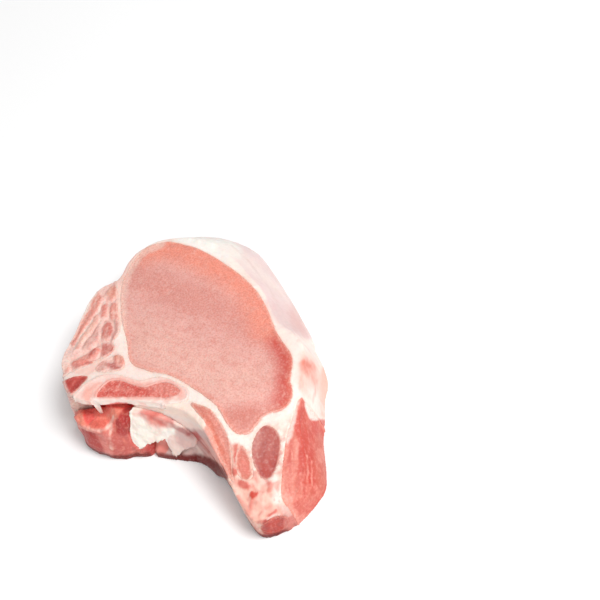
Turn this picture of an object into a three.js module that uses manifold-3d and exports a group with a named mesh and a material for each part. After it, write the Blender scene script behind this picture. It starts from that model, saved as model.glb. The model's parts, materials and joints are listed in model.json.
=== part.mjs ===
// A raw pork rib chop, lying on one cut face with the other one up.
// Millimetres, +Z up. The floor is z = 0, the bone lies to -X, the back fat to +X and the tail to -Y.
// Each tissue is a body of its own that runs down through the slice, and the fat is what holds them all.
import * as THREE from "three";
import { mergeVertices } from "three/addons/utils/BufferGeometryUtils.js";
import Module from "manifold-3d";

// The slice
const THICKNESS = 27;
const CENTRE = [2.11, 16.23]; // middle of the slice among the points below, which becomes the origin
const GAP = 0.3; // clear space between two tissues
const CURVE_STEPS = 5; // straight steps from one point of an outline to the next
const RIM_LEVELS = 9; // rings between the floor and the top of a block's side
const SLICE_AREA = [...CENTRE, 112, 164]; // middle and size of the rectangle that holds it
const CELL = 3.2; // grid of the cut face
const HEADROOM = 14; // how far a cutter passes above the cut face
const BELOW = -1; // where it starts, under the floor
const OUTSIDE = 20; // how far it passes out of a side

// The cut face's relief
const TAIL_START = -12; // y where the slice begins to thin
const TAIL_END = -64;
const TAIL_DROP = 14; // how much thinner the tip is
const EYE = { x: 13, y: 27, across: 28, along: 54, rise: 1.3 };
const SPINE_SAG = { x: [-14, -40], y: [24, 40], drop: 1.6 }; // the marbled muscles sag beside the eye
const EDGE_ROUND = { width: 6, drop: 1 };
const TAIL_ROUND = { width: 8, drop: 3 };

// The bone side
const RIB_FLOOR = 23.7; // underside of the rib bone, and ceiling of the hollow below its end
const MARROW_FLOOR = 24.7;
const CHINE_TOP = 15.5; // top of the meat that juts from the hollow
const CHINE_STEP = 5; // the same meat is higher towards the cartilage
const CHINE_ROUND = { width: 4, drop: 2.2 };
const CHINE_AREA = [-36, 17.5, 36, 36];
const CHINE_CELL = 1.5;

// Edge of the cut face: x, y, then how far the side leans out by the time it reaches the floor,
// and how full the side is: over 1 it bulges, under 1 it is hollow.
const LEAN = 2;
const FULLNESS = 3;
const SLICE_EDGE = [
  [-3, -57.2, 0.4, 2],
  [3.5, -59.3, 0.5, 2],
  [8.5, -59, 1, 2],
  [13, -56.6, 2.2, 2],
  [17.5, -53.6, 3.2, 2],
  [21.3, -49.5, 5, 2],
  [24.3, -44, 5, 2],
  [26.8, -37.5, 5, 2],
  [30, -30.6, 4.5, 2],
  [36.2, -22.6, 3, 2],
  [40.8, -14.2, 2.6, 2],
  [44.2, -7, 3.8, 2],
  [43.5, 2, 6.5, 2],
  [41, 10, 10.3, 2],
  [42, 26, 10.5, 2],
  [41, 38, 11.8, 2],
  [38.5, 52, 14.5, 2],
  [35, 65, 17.3, 1.7],
  [27, 74.4, 17, 1.7],
  [17, 80.7, 12.5, 1.6],
  [7, 81.4, 5, 1.6],
  [0, 78, 2.5, 1.5],
  [-6.5, 72, 2, 1.5],
  [-14, 72.3, 2.5, 1.5],
  [-22, 67.5, 4, 1.5],
  [-32, 57, 4.5, 1.5],
  [-41, 48.5, 5, 1.5],
  [-43.6, 40, 3.4, 1.5],
  [-45, 32.5, 3.5, 1.5],
  [-42.2, 24.2, 5.5, 1],
  [-37.2, 19.3, 7, 0.8],
  [-26.8, 12.9, 7.5, 0.7],
  [-17.6, 5.2, 7.5, 0.7],
  [-11.3, -1.6, 6.8, 0.7],
  [-6.5, -9, 4.5, 0.7],
  [-4.5, -17, 3, 0.8],
  [-4.5, -33, 0.5, 1],
  [-4.8, -48, 0.3, 1],
];

// Outlines of the tissues on the cut face. Where one passes the slice's edge, the tissue shows there.
const LOIN_EYE = [
  [10.5, 80.5],
  [18, 78.3],
  [26, 68.8],
  [34, 52],
  [39.3, 34],
  [39.8, 21],
  [38, 4],
  [38.4, -8],
  [37, -12.5],
  [33, -18.3],
  [32.2, -21.5],
  [29.5, -25.3],
  [25, -26.9],
  [18.5, -25.7],
  [14.3, -27.1],
  [10, -28.7],
  [6.3, -26.8],
  [4.9, -22],
  [4.6, -14],
  [1.8, -5],
  [-4.7, 9],
  [-12.9, 19.5],
  [-17, 27],
  [-14.6, 38.7],
  [-12.1, 51.6],
  [-7, 66],
  [-0.5, 74.5],
  [5, 78.5],
];
const SPINE_MUSCLE = [
  [-8.5, 70],
  [-13.5, 54],
  [-16, 45],
  [-20, 41.5],
  [-21, 37.5],
  [-26, 36.6],
  [-34, 38],
  [-44, 39.5],
  [-60, 42],
  [-56, 60],
  [-30, 80],
  [-10, 82],
];
const UPPER_RIB_MUSCLE = [
  [-31, 32.5],
  [-25, 34.3],
  [-20, 33],
  [-19.5, 29.5],
  [-21, 26.3],
  [-25, 27.3],
];
const END_MUSCLE = [
  [-58, 37],
  [-44, 36.5],
  [-38, 34],
  [-35, 31.3],
  [-38, 29.3],
  [-44, 27.5],
  [-58, 27.5],
];
const RIB_BONE = [
  [-60, 21],
  [-46, 24],
  [-42, 26.2],
  [-36, 28],
  [-28, 27.3],
  [-22, 21.5],
  [-17, 15.7],
  [-11.5, 13.7],
  [-7.5, 10],
  [-4.5, 4.5],
  [-2.8, 0],
  [-4.5, -3],
  [-9, -1.5],
  [-14, 1.2],
  [-22, 2],
  [-44, 8],
];
const RIB_MARROW = [
  [-35, 20],
  [-31, 22.8],
  [-27.5, 23.3],
  [-24.3, 21.5],
  [-20.5, 16.5],
  [-16.5, 12.2],
  [-11.5, 10.7],
  [-8.5, 9],
  [-6, 5],
  [-5.3, 1.3],
  [-9.5, 1.6],
  [-16, 6.5],
  [-25, 12.9],
  [-33, 18.1],
];
const RIB_MUSCLE = [
  [-3.8, -6],
  [-1, -9.5],
  [1.5, -14],
  [2.5, -20],
  [2.2, -28],
  [0.3, -33],
  [-2.4, -39],
  [-3.4, -42],
  [-3.2, -30],
  [-2.5, -22],
  [-2.6, -14],
];
const INNER_MUSCLE = [
  [5.2, -31.3],
  [6.2, -34.5],
  [5, -40],
  [3.6, -43],
  [0.5, -43],
  [-0.3, -38.5],
  [2, -34],
];
const FLANK_MUSCLE = [
  [33, -26],
  [28.6, -30],
  [21.2, -37.2],
  [17.8, -41.8],
  [12.3, -49.6],
  [9.4, -55],
  [10.5, -60],
  [12, -70],
  [28, -66],
  [50, -44],
  [48, -31],
  [36, -27.5],
];
const OVAL_MUSCLE = [
  [17, -29.4],
  [19.3, -32.3],
  [19.3, -35.8],
  [17.2, -39.5],
  [13.2, -44.2],
  [9.2, -46.3],
  [6.6, -45.3],
  [6.3, -41],
  [8.2, -35],
  [12.6, -30.5],
];
const TIP_MUSCLE = { x: 2.5, y: -60, z: 7, across: 5.5, deep: 5, high: 4 };

// Meat beside the backbone, below the end of the rib
const CHINE_MEAT = [
  [-46.5, 29, 1.5, 3],
  [-46.3, 22.3, 1.5, 3],
  [-43.2, 16.5, 2, 3],
  [-38.5, 10.5, 2.5, 3],
  [-31.5, 7.8, 2, 3],
  [-26, 5.5, 2, 3],
  [-24, 11, 0, 3],
  [-27.5, 17.5, 0, 3],
  [-34.5, 23.5, 0, 3],
  [-41, 27.5, 0, 3],
];
const CHINE_HIGH_SIDE = [-36, -31]; // x between which its top climbs by CHINE_STEP
// The hollow that holds it: its inner wall, then a wide detour outside the slice
const CHINE_POCKET = [
  [-45, 30.6],
  [-40, 28.7],
  [-34, 24.4],
  [-27, 18.7],
  [-23, 10],
  [-23.5, 3],
  [-25, -10],
  [-62, -10],
  [-70, 34],
];

// Torn sheet of cartilage on the rib's inner side, drawn flat: along the rib, height
const CARTILAGE_START = [-25.3, 11.4];
const CARTILAGE_HEADING = [0.776, -0.631];
const CARTILAGE_DEPTH = 2.6;
const CARTILAGE_SUNK = 1.4; // how far it is let into the meat behind it
const CARTILAGE_LEAN = 10.5; // it follows the side as that leans out
const CARTILAGE_FULLNESS = 0.7;
const CARTILAGE = [
  [1.2, 22],
  [-0.1, 18],
  [-1.3, 13],
  [-1.5, 7.2],
  [1.2, 3.8],
  [4, 6.7],
  [9.8, 8.9],
  [13.3, 10.4],
  [13.6, 6.6],
  [16.2, 2.7],
  [18.2, 4],
  [21, 6],
  [25.4, 8],
  [27, 12],
  [22, 16.5],
  [14, 20.5],
  [6, 22],
];

const wasm = await Module();
wasm.setup();

// A closed geometry as a solid that can be cut and joined.
function solidOf(geometry) {
  geometry.deleteAttribute("normal");
  geometry.deleteAttribute("uv");
  const merged = mergeVertices(geometry, 1e-4);
  return new wasm.Manifold(
    new wasm.Mesh({
      numProp: 3,
      vertProperties: new Float32Array(merged.attributes.position.array),
      triVerts: new Uint32Array(merged.index.array),
    }),
  );
}

// The solid's surface as a geometry that can be drawn.
function geometryOf(solid) {
  const mesh = solid.getMesh();
  const geometry = new THREE.BufferGeometry();
  geometry.setAttribute("position", new THREE.BufferAttribute(mesh.vertProperties, 3));
  geometry.setIndex(new THREE.BufferAttribute(mesh.triVerts, 1));
  geometry.computeVertexNormals();
  return geometry;
}

// Every vertex goes where move(x, y, z) says.
function bend(geometry, move) {
  const position = geometry.attributes.position;
  for (let i = 0; i < position.count; i++) {
    const [x, y, z] = move(position.getX(i), position.getY(i), position.getZ(i));
    position.setXYZ(i, x, y, z);
  }
  return geometry;
}

// 0 at the first value and 1 at the second, with a soft change between them.
function smooth(from, to, value) {
  return THREE.MathUtils.smoothstep((value - from) / (to - from), 0, 1);
}

// A rounded closed curve through the table's x and y.
// Its z runs through another column of the table in the same way.
function ring(table, columnOfZ) {
  const knots = table.map(
    (row) => new THREE.Vector3(row[0] - CENTRE[0], row[1] - CENTRE[1], row[columnOfZ] ?? 0),
  );
  const curve = new THREE.CatmullRomCurve3(knots, true, "centripetal");
  return curve.getPoints(table.length * CURVE_STEPS).slice(0, -1);
}

// Moves a closed curve's points outwards, square to the curve.
function grown(points, amount) {
  const area = THREE.ShapeUtils.area(points);
  return points.map((point, i) => {
    const before = points[(i + points.length - 1) % points.length];
    const after = points[(i + 1) % points.length];
    const along = new THREE.Vector2(after.x - before.x, after.y - before.y).normalize();
    const side = Math.sign(area) * amount;
    return new THREE.Vector2(point.x + along.y * side, point.y - along.x * side);
  });
}

// A straight column of tissue over the outline, from one height to another.
function column(points, from = BELOW, to = THICKNESS + HEADROOM) {
  const shape = new THREE.Shape(points.map((point) => new THREE.Vector2(point.x, point.y)));
  const geometry = new THREE.ExtrudeGeometry(shape, { depth: to - from, bevelEnabled: false });
  geometry.translate(0, 0, from);
  return solidOf(geometry);
}

// Which of the points is nearest to a place, and how far away it is.
function nearestOf(points, x, y) {
  const found = { index: 0, distance: Infinity };
  points.forEach((point, index) => {
    const distance = Math.hypot(point.x - x, point.y - y);
    if (distance < found.distance) {
      found.index = index;
      found.distance = distance;
    }
  });
  return found;
}

const edge = ring(SLICE_EDGE);

// Height of the upper cut face over the floor.
function faceHeight(x, y) {
  const tail = smooth(TAIL_START, TAIL_END, y + CENTRE[1]);
  const eyeX = (x + CENTRE[0] - EYE.x) / EYE.across;
  const eyeY = (y + CENTRE[1] - EYE.y) / EYE.along;
  const eyeBulge = Math.max(0, 1 - eyeX * eyeX - eyeY * eyeY) * EYE.rise;
  const spineX = smooth(...SPINE_SAG.x, x + CENTRE[0]);
  const spineY = smooth(...SPINE_SAG.y, y + CENTRE[1]);
  const spineSag = SPINE_SAG.drop * spineX * spineY;
  const width = THREE.MathUtils.lerp(EDGE_ROUND.width, TAIL_ROUND.width, tail);
  const drop = THREE.MathUtils.lerp(EDGE_ROUND.drop, TAIL_ROUND.drop, tail);
  const nearEdge = Math.max(0, 1 - nearestOf(edge, x, y).distance / width);
  return THICKNESS - TAIL_DROP * tail + eyeBulge - spineSag - drop * nearEdge ** 2;
}

// A block with its top above heightAt, whose side leans out below that as its table of points says.
function leaningBlock(table, heightAt) {
  const points = ring(table);
  const leans = ring(table, LEAN).map((point) => point.z);
  const fullness = ring(table, FULLNESS).map((point) => point.z);
  const outwards = grown(points, 1);
  const shape = new THREE.Shape(points.map((point) => new THREE.Vector2(point.x, point.y)));
  const block = new THREE.ExtrudeGeometry(shape, {
    depth: 1,
    steps: RIM_LEVELS,
    bevelEnabled: false,
  });
  bend(block, (x, y, z) => {
    const i = nearestOf(points, x, y).index;
    const top = heightAt(x, y);
    const height = z * (top + HEADROOM);
    const lean = leans[i] * (1 - Math.min(1, height / top) ** fullness[i]);
    return [
      x + (outwards[i].x - points[i].x) * lean,
      y + (outwards[i].y - points[i].y) * lean,
      height,
    ];
  });
  return solidOf(block);
}

// Everything below the surface that heightAt describes, over a rectangle of the floor.
function under(heightAt, [x, y, width, length], cell) {
  const acrossCells = Math.round(width / cell);
  const alongCells = Math.round(length / cell);
  const block = new THREE.BoxGeometry(width, length, 2, acrossCells, alongCells, 1);
  block.translate(x - CENTRE[0], y - CENTRE[1], 0);
  return solidOf(bend(block, (px, py, pz) => [px, py, pz < 0 ? BELOW : heightAt(px, py)]));
}

// The whole slice, before it is divided into its tissues.
function wholeSlice() {
  return leaningBlock(SLICE_EDGE, faceHeight).intersect(under(faceHeight, SLICE_AREA, CELL));
}

// The red end in the tail's tip, with some extra all round.
function tipBall(extra) {
  const ball = new THREE.SphereGeometry(1, 16, 10);
  ball.scale(TIP_MUSCLE.across + extra, TIP_MUSCLE.deep + extra, TIP_MUSCLE.high + extra);
  ball.translate(TIP_MUSCLE.x - CENTRE[0], TIP_MUSCLE.y - CENTRE[1], TIP_MUSCLE.z);
  return solidOf(ball);
}

// The meat that juts from under the rib, rounded off at its upper edge.
function chineMeat() {
  const [low, high] = CHINE_HIGH_SIDE;
  const outline = ring(CHINE_MEAT);
  const top = (x, y) => {
    const nearEdge = Math.max(0, 1 - nearestOf(outline, x, y).distance / CHINE_ROUND.width);
    const climb = CHINE_STEP * smooth(low, high, x + CENTRE[0]);
    return CHINE_TOP + climb - CHINE_ROUND.drop * nearEdge ** 2;
  };
  return leaningBlock(CHINE_MEAT, top).intersect(under(top, CHINE_AREA, CHINE_CELL));
}

// The cartilage, or with room around it and free space outside it the bed that it lies in.
function cartilageSheet(room, outside) {
  const knots = CARTILAGE.map(([along, height]) => new THREE.Vector2(along, height));
  const sheet = new THREE.ExtrudeGeometry(new THREE.Shape(grown(knots, room)), {
    depth: CARTILAGE_DEPTH + 2 * room + outside,
    bevelEnabled: false,
    steps: 1,
  });
  const [headX, headY] = CARTILAGE_HEADING;
  bend(sheet, (along, height, depth) => {
    const lean = CARTILAGE_LEAN * (1 - (height / THICKNESS) ** CARTILAGE_FULLNESS);
    const out = lean + depth - room - CARTILAGE_SUNK;
    const x = CARTILAGE_START[0] + headX * along + headY * out - CENTRE[0];
    const y = CARTILAGE_START[1] + headY * along - headX * out - CENTRE[1];
    return [x, y, height];
  });
  return solidOf(sheet);
}

const whole = wholeSlice();
const slice = whole
  .subtract(column(ring(CHINE_POCKET), BELOW, RIB_FLOOR))
  .subtract(cartilageSheet(GAP, OUTSIDE))
  .subtract(tipBall(GAP));
const chop = new THREE.Group();
let fat = slice;

// Names the solid and gives it the material of its tissue.
function addTissue(name, solid, colour, roughness) {
  const material = new THREE.MeshStandardMaterial({ color: colour, roughness, metalness: 0 });
  const mesh = new THREE.Mesh(geometryOf(solid), material);
  mesh.name = name;
  chop.add(mesh);
}

// Takes a column of tissue out of the slice and leaves its bed in the fat.
function addColumn(name, points, colour, roughness) {
  addTissue(name, slice.intersect(column(points)), colour, roughness);
  fat = fat.subtract(column(grown(points, GAP)));
}

addColumn("loin_eye", ring(LOIN_EYE), "#e7a498", 0.45);
addColumn("spine_muscle", ring(SPINE_MUSCLE), "#d98f80", 0.45);
addColumn("upper_rib_muscle", ring(UPPER_RIB_MUSCLE), "#cf7f6c", 0.45);
addColumn("end_muscle", ring(END_MUSCLE), "#c8594f", 0.4);
addColumn("rib_muscle", ring(RIB_MUSCLE), "#ec9987", 0.45);
addColumn("inner_muscle", ring(INNER_MUSCLE), "#e07f70", 0.45);
addColumn("oval_muscle", ring(OVAL_MUSCLE), "#c4716c", 0.4);
addColumn("flank_muscle", ring(FLANK_MUSCLE), "#ee6f62", 0.4);

// The rib bone holds its marrow.
const bone = ring(RIB_BONE);
const marrow = ring(RIB_MARROW);
const marrowBed = column(grown(marrow, GAP), MARROW_FLOOR - GAP);
addTissue("rib_bone", slice.intersect(column(bone, RIB_FLOOR)).subtract(marrowBed), "#f5ddd0", 0.5);
addTissue("rib_marrow", slice.intersect(column(marrow, MARROW_FLOOR)), "#d9736a", 0.55);
fat = fat.subtract(column(grown(bone, GAP), RIB_FLOOR - GAP));

addTissue("tip_muscle", whole.intersect(tipBall(0)), "#c7645f", 0.4);
addTissue("chine_meat", chineMeat().subtract(cartilageSheet(GAP, OUTSIDE)), "#cc5a50", 0.4);
addTissue("cartilage", cartilageSheet(0, 0), "#fbeee6", 0.5);
addTissue("fat", fat, "#f8e8e0", 0.5);

export default chop;
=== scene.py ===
"""A raw pork rib chop.

Every tissue is a close-meshed piece over its solid, with relief and colours of its own.
"""

import itertools
import json
import math

import bpy
import numpy as np
from mathutils import Matrix, Vector
from mathutils.bvhtree import BVHTree

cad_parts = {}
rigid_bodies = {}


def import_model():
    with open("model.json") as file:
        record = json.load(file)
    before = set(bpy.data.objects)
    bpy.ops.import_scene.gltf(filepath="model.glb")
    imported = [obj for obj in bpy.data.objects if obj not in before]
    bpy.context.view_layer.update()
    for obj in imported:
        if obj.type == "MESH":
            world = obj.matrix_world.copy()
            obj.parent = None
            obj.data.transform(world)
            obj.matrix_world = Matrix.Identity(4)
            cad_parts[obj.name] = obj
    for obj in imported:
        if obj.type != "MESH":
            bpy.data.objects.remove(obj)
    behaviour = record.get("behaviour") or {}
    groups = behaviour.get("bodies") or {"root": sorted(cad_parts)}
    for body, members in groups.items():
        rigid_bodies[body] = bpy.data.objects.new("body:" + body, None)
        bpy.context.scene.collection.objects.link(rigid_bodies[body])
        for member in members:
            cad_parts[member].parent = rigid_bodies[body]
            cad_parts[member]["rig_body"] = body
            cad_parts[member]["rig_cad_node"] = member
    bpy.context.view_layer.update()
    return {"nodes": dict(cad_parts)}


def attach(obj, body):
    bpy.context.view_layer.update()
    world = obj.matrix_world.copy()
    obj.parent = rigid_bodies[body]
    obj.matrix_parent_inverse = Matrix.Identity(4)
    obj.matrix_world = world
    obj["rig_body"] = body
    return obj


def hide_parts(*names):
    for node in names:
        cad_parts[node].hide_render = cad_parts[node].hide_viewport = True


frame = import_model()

solids = frame["nodes"]
MM = 0.001

# The camera of the picture. ANCHOR_PIXEL shows the point ANCHOR, in mm.
PICTURE_SIDE = 600
LENS = 85
SENSOR = 36
FOCAL_PIXELS = LENS / SENSOR * PICTURE_SIDE
ELEVATION = math.radians(50)
ROLL = math.radians(28)
MM_PER_PIXEL = 0.385
ANCHOR_PIXEL = (194, 388)
ANCHOR = (-2.11, -16.23, 27)

# Colours in the picture, red, green and blue out of 255
EYE_PINK = (232, 171, 162)
EYE_PALE = (241, 189, 176)
EYE_ORANGE = (243, 149, 128)
EYE_RED = (206, 78, 68)
EYE_ROSE = (212, 130, 118)
EYE_STREAK = (220, 143, 132)
PALE_FASCIA = (249, 214, 200)
LEAN_GROUND = (246, 204, 194)
LEAN_PALE = (239, 186, 170)
LEAN_ORANGE = (227, 152, 132)
LEAN_ROSE = (232, 152, 138)
LEAN_CORAL = (230, 132, 120)
LEAN_DULL = (212, 124, 114)
LEAN_GREY = (220, 166, 156)
LEAN_DARK = (186, 88, 84)
SMALL_RED = (212, 104, 92)
# white of the marbling lines, and of the painted highlight on the lit left rim
HIGHLIGHT_AND_MARBLING_WHITE = (254, 238, 227)
RED = (209, 79, 66)
RED_DEEP = (202, 74, 64)
RED_PALE = (212, 118, 101)
RED_PINK = (240, 162, 146)
OVAL_RED = (186, 99, 92)
OVAL_DEEP = (181, 70, 64)
OVAL_DARK = (158, 74, 72)
STRIP_PINK = (218, 129, 113)
STRIP_ORANGE = (228, 122, 98)
DARK_RED = (202, 80, 74)
BLOOD = (160, 32, 32)
# painted shade, in dark red, for the recess under the rib
RECESS_SHADE = (236, 64, 60)
# dark red of the wet rim at the floor: wet meat with painted contact shade
WET_CONTACT_SHADE = (112, 12, 12)
LUMP_RED = (252, 128, 114)
LUMP_LIT = (228, 108, 92)
LUMP_PALE = (244, 150, 128)
LUMP_FRONT = (232, 140, 130)
LUMP_SIDE = (206, 104, 96)
LUMP_DARK = (186, 60, 58)
LUMP_PIT = (250, 106, 98)
FASCIA = (251, 210, 194)
FAT_WHITE = (251, 235, 226)
FAT_BLUISH = (237, 210, 208)
FAT_GREYISH = (226, 195, 193)
FAT_ROSE = (222, 116, 96)
# painted highlight: near-white on the fat's lit top edge
FAT_LIT = (250, 245, 238)
FAT_PINK = (248, 204, 191)
FAT_BONE = (247, 222, 214)
FAT_GREY = (222, 196, 190)
TAIL_PINK = (243, 178, 158)
TAIL_PALE = (248, 210, 194)
MEMBRANE = (212, 180, 175)
MEMBRANE_ROSE = (226, 186, 178)
MEMBRANE_DARK = (172, 74, 70)
SIDE_GREY = (228, 192, 184)
SIDE_CREAM = (255, 230, 216)
SIDE_ROSE = (222, 150, 136)
FOLD_PINK = (255, 222, 211)
BONE_RIM = (249, 212, 202)
BONE_PINK = (245, 178, 164)
BONE_CREAM = (254, 238, 228)
MARROW_RED = (218, 96, 86)
MARROW_DEEP = (196, 66, 60)
MARROW_PALE = (236, 152, 140)
CARTILAGE_WHITE = (255, 247, 236)
CARTILAGE_PINK = (238, 134, 120)
CARTILAGE_RED = (206, 82, 74)

# A tissue's own colour beside its colour in the picture, because the light is strong for a white floor
OWN_SHARE = 0.93

WHITE_VALUE = 255
NOISE_TILE = 32  # cells after which the noise repeats
SMOOTHING = 2  # rounds that soften a close mesh
FACING_ENDS = (-0.12, 0.08)  # turns towards the camera between which skin comes into its view
UP_ENDS = (0.1, 0.5)  # upward parts of a normal between which skin counts as facing up
LINE_MIDDLE = 0.7  # a drawn line's strength changes about this share of it
LINE_SPREAD = 0.6
LINE_SOFTNESS = 1.3  # for its width
SEAM_UNEVENNESS = 0.35  # for the width of a seam's border

# In mm
BESIDE = 14  # height at which a pixel beside the chop is placed
EDGE_WAVER = 0.42  # how far the borders of patches and lines waver
FARTHEST_SEAM = 30  # a seam farther away than this isn't looked for
GAP_REACH = 0.42  # how far a wall moves to meet the tissue across its gap
WELD = 0.01  # corners of a solid that are closer than this are one
SIDE_REACH = 24  # how far a side's patch spreads from its middle
REACH_FADE = 4  # how far beyond its reach it fades out
UPPER_FACE_ENDS = (5, 9)  # heights between which skin that faces up starts to be the cut face
EYE_CELL = 0.46  # cells of the close meshes
MARBLED_CELL = 0.36
MUSCLE_CELL = 0.4
BONE_CELL = 0.35
FAT_CELL = 0.62
TAIL_FOOT = 3.6  # height of the wet rim with its painted contact shade along the tail, and below along the other sides
LEAN_FOOT = 1.6
FAT_FOOT = 3.4
LUMP_FOOT = 4

WET_SHADE_STRENGTH = 0.95
WET_SHADE_WAVER = 0.4
WET_SHADED_SIDE = (-0.8, -0.6)  # the way that the sides with the wet rim and its painted shade face, seen from above
TAIL_ROWS = (462, 480)  # picture rows between which the wet, shaded rim takes the tail's height


def camera_matrix():
    """Place and turn of the camera, from where it shows the anchor."""
    back = Vector((0, -math.cos(ELEVATION), math.sin(ELEVATION)))
    level = Vector((1, 0, 0))
    upright = back.cross(level)
    right = math.cos(ROLL) * level - math.sin(ROLL) * upright
    up = math.sin(ROLL) * level + math.cos(ROLL) * upright
    straight = Matrix((right, up, back)).transposed()
    half = PICTURE_SIDE / 2
    sight = Vector((ANCHOR_PIXEL[0] - half, half - ANCHOR_PIXEL[1], -FOCAL_PIXELS))
    turn = sight.rotation_difference(Vector((0, 0, -1))).to_matrix()
    place = Vector(ANCHOR) * MM + back * (MM_PER_PIXEL * FOCAL_PIXELS * MM)
    return Matrix.Translation(place) @ (straight @ turn).to_4x4()


CAMERA = camera_matrix()


def tree_of(names):
    """A search tree of several CAD nodes' surfaces, in metres."""
    corners = []
    faces = []
    for name in names:
        mesh = solids[name].data
        start = len(corners)
        corners.extend(vertex.co.copy() for vertex in mesh.vertices)
        faces.extend([start + i for i in polygon.vertices] for polygon in mesh.polygons)
    return BVHTree.FromPolygons(corners, faces)


chop_tree = tree_of(solids)


def on_chop(pixels):
    """Points in mm of the chop's surface that pixels of the picture show.

    A pixel beside the chop gives a point at about half its height.
    """
    half = PICTURE_SIDE / 2
    turn = CAMERA.to_3x3()
    found = []
    for across, down in pixels:
        ray = turn @ Vector((across - half, half - down, -FOCAL_PIXELS))
        place = chop_tree.ray_cast(CAMERA.translation, ray.normalized())[0]
        if place is None:
            place = CAMERA.translation + ray * ((BESIDE * MM - CAMERA.translation.z) / ray.z)
        found.append(place / MM)
    return np.array(found)


def pixels_of(points):
    """Where the picture shows points in mm."""
    turned = (points * MM - np.array(CAMERA.translation)) @ np.array(CAMERA.to_3x3())
    across = PICTURE_SIDE / 2 - FOCAL_PIXELS * turned[:, 0] / turned[:, 2]
    down = PICTURE_SIDE / 2 + FOCAL_PIXELS * turned[:, 1] / turned[:, 2]
    return np.column_stack([across, down])


def ramp(value, start, end):
    """0 at start and 1 at end, with a soft change between them."""
    share = np.clip((value - start) / (end - start), 0, 1)
    return share * share * (3 - 2 * share)


def cloud(points, size, seed):
    """Smooth noise from -1 to 1 whose blobs are about size wide; size is one number or three."""
    draw = np.random.default_rng(seed)
    lattice = draw.uniform(-1, 1, (NOISE_TILE,) * 3)
    place = points / np.array(size, float) + draw.uniform(0, NOISE_TILE, 3)
    cell = np.floor(place).astype(int)
    share = place - cell
    share = share * share * (3 - 2 * share)
    total = np.zeros(len(points))
    for corner in itertools.product((0, 1), repeat=3):
        weight = np.prod(np.where(corner, share, 1 - share), axis=1)
        i, j, k = ((cell + corner) % NOISE_TILE).T
        total += weight * lattice[i, j, k]
    return total


def fibres(points, heading, width, length, seed):
    """Noise drawn out along a heading of the cut face, in degrees from +X."""
    turn = math.radians(heading)
    along = points[:, 0] * math.cos(turn) + points[:, 1] * math.sin(turn)
    across = points[:, 1] * math.cos(turn) - points[:, 0] * math.sin(turn)
    return cloud(np.column_stack([across, along, points[:, 2]]), (width, length, width * 2), seed)


def rounded(corners, closed):
    """A line or outline with its corners cut off twice."""
    line = np.asarray(corners, float)
    for _ in range(2):
        after = np.roll(line, -1, axis=0) if closed else line[1:]
        before = line if closed else line[:-1]
        cut = np.stack([0.75 * before + 0.25 * after, 0.25 * before + 0.75 * after], axis=1)
        cut = cut.reshape(-1, line.shape[1])
        line = cut if closed else np.vstack([line[:1], cut, line[-1:]])
    return line


def from_line(points, line, closed=False):
    """Distance of each point from a line through the corners given."""
    ends = np.roll(line, -1, axis=0) if closed else line[1:]
    starts = line if closed else line[:-1]
    least = np.full(len(points), np.inf)
    for start, end in zip(starts, ends):
        along = end - start
        share = np.clip((points - start) @ along / max(along @ along, 1e-9), 0, 1)
        gap = points - start - share[:, None] * along
        least = np.minimum(least, np.einsum("ij,ij->i", gap, gap))
    return np.sqrt(least)


def inside(points, outline):
    """How deep each flat point lies within the outline; below 0 it is outside."""
    x, y = points.T
    within = np.zeros(len(points), bool)
    for (x0, y0), (x1, y1) in zip(outline, np.roll(outline, -1, axis=0)):
        if y0 != y1:
            crosses = (y0 > y) != (y1 > y)
            within ^= crosses & (x < (x1 - x0) * (y - y0) / (y1 - y0) + x0)
    return np.where(within, 1, -1) * from_line(points, outline, closed=True)


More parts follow.
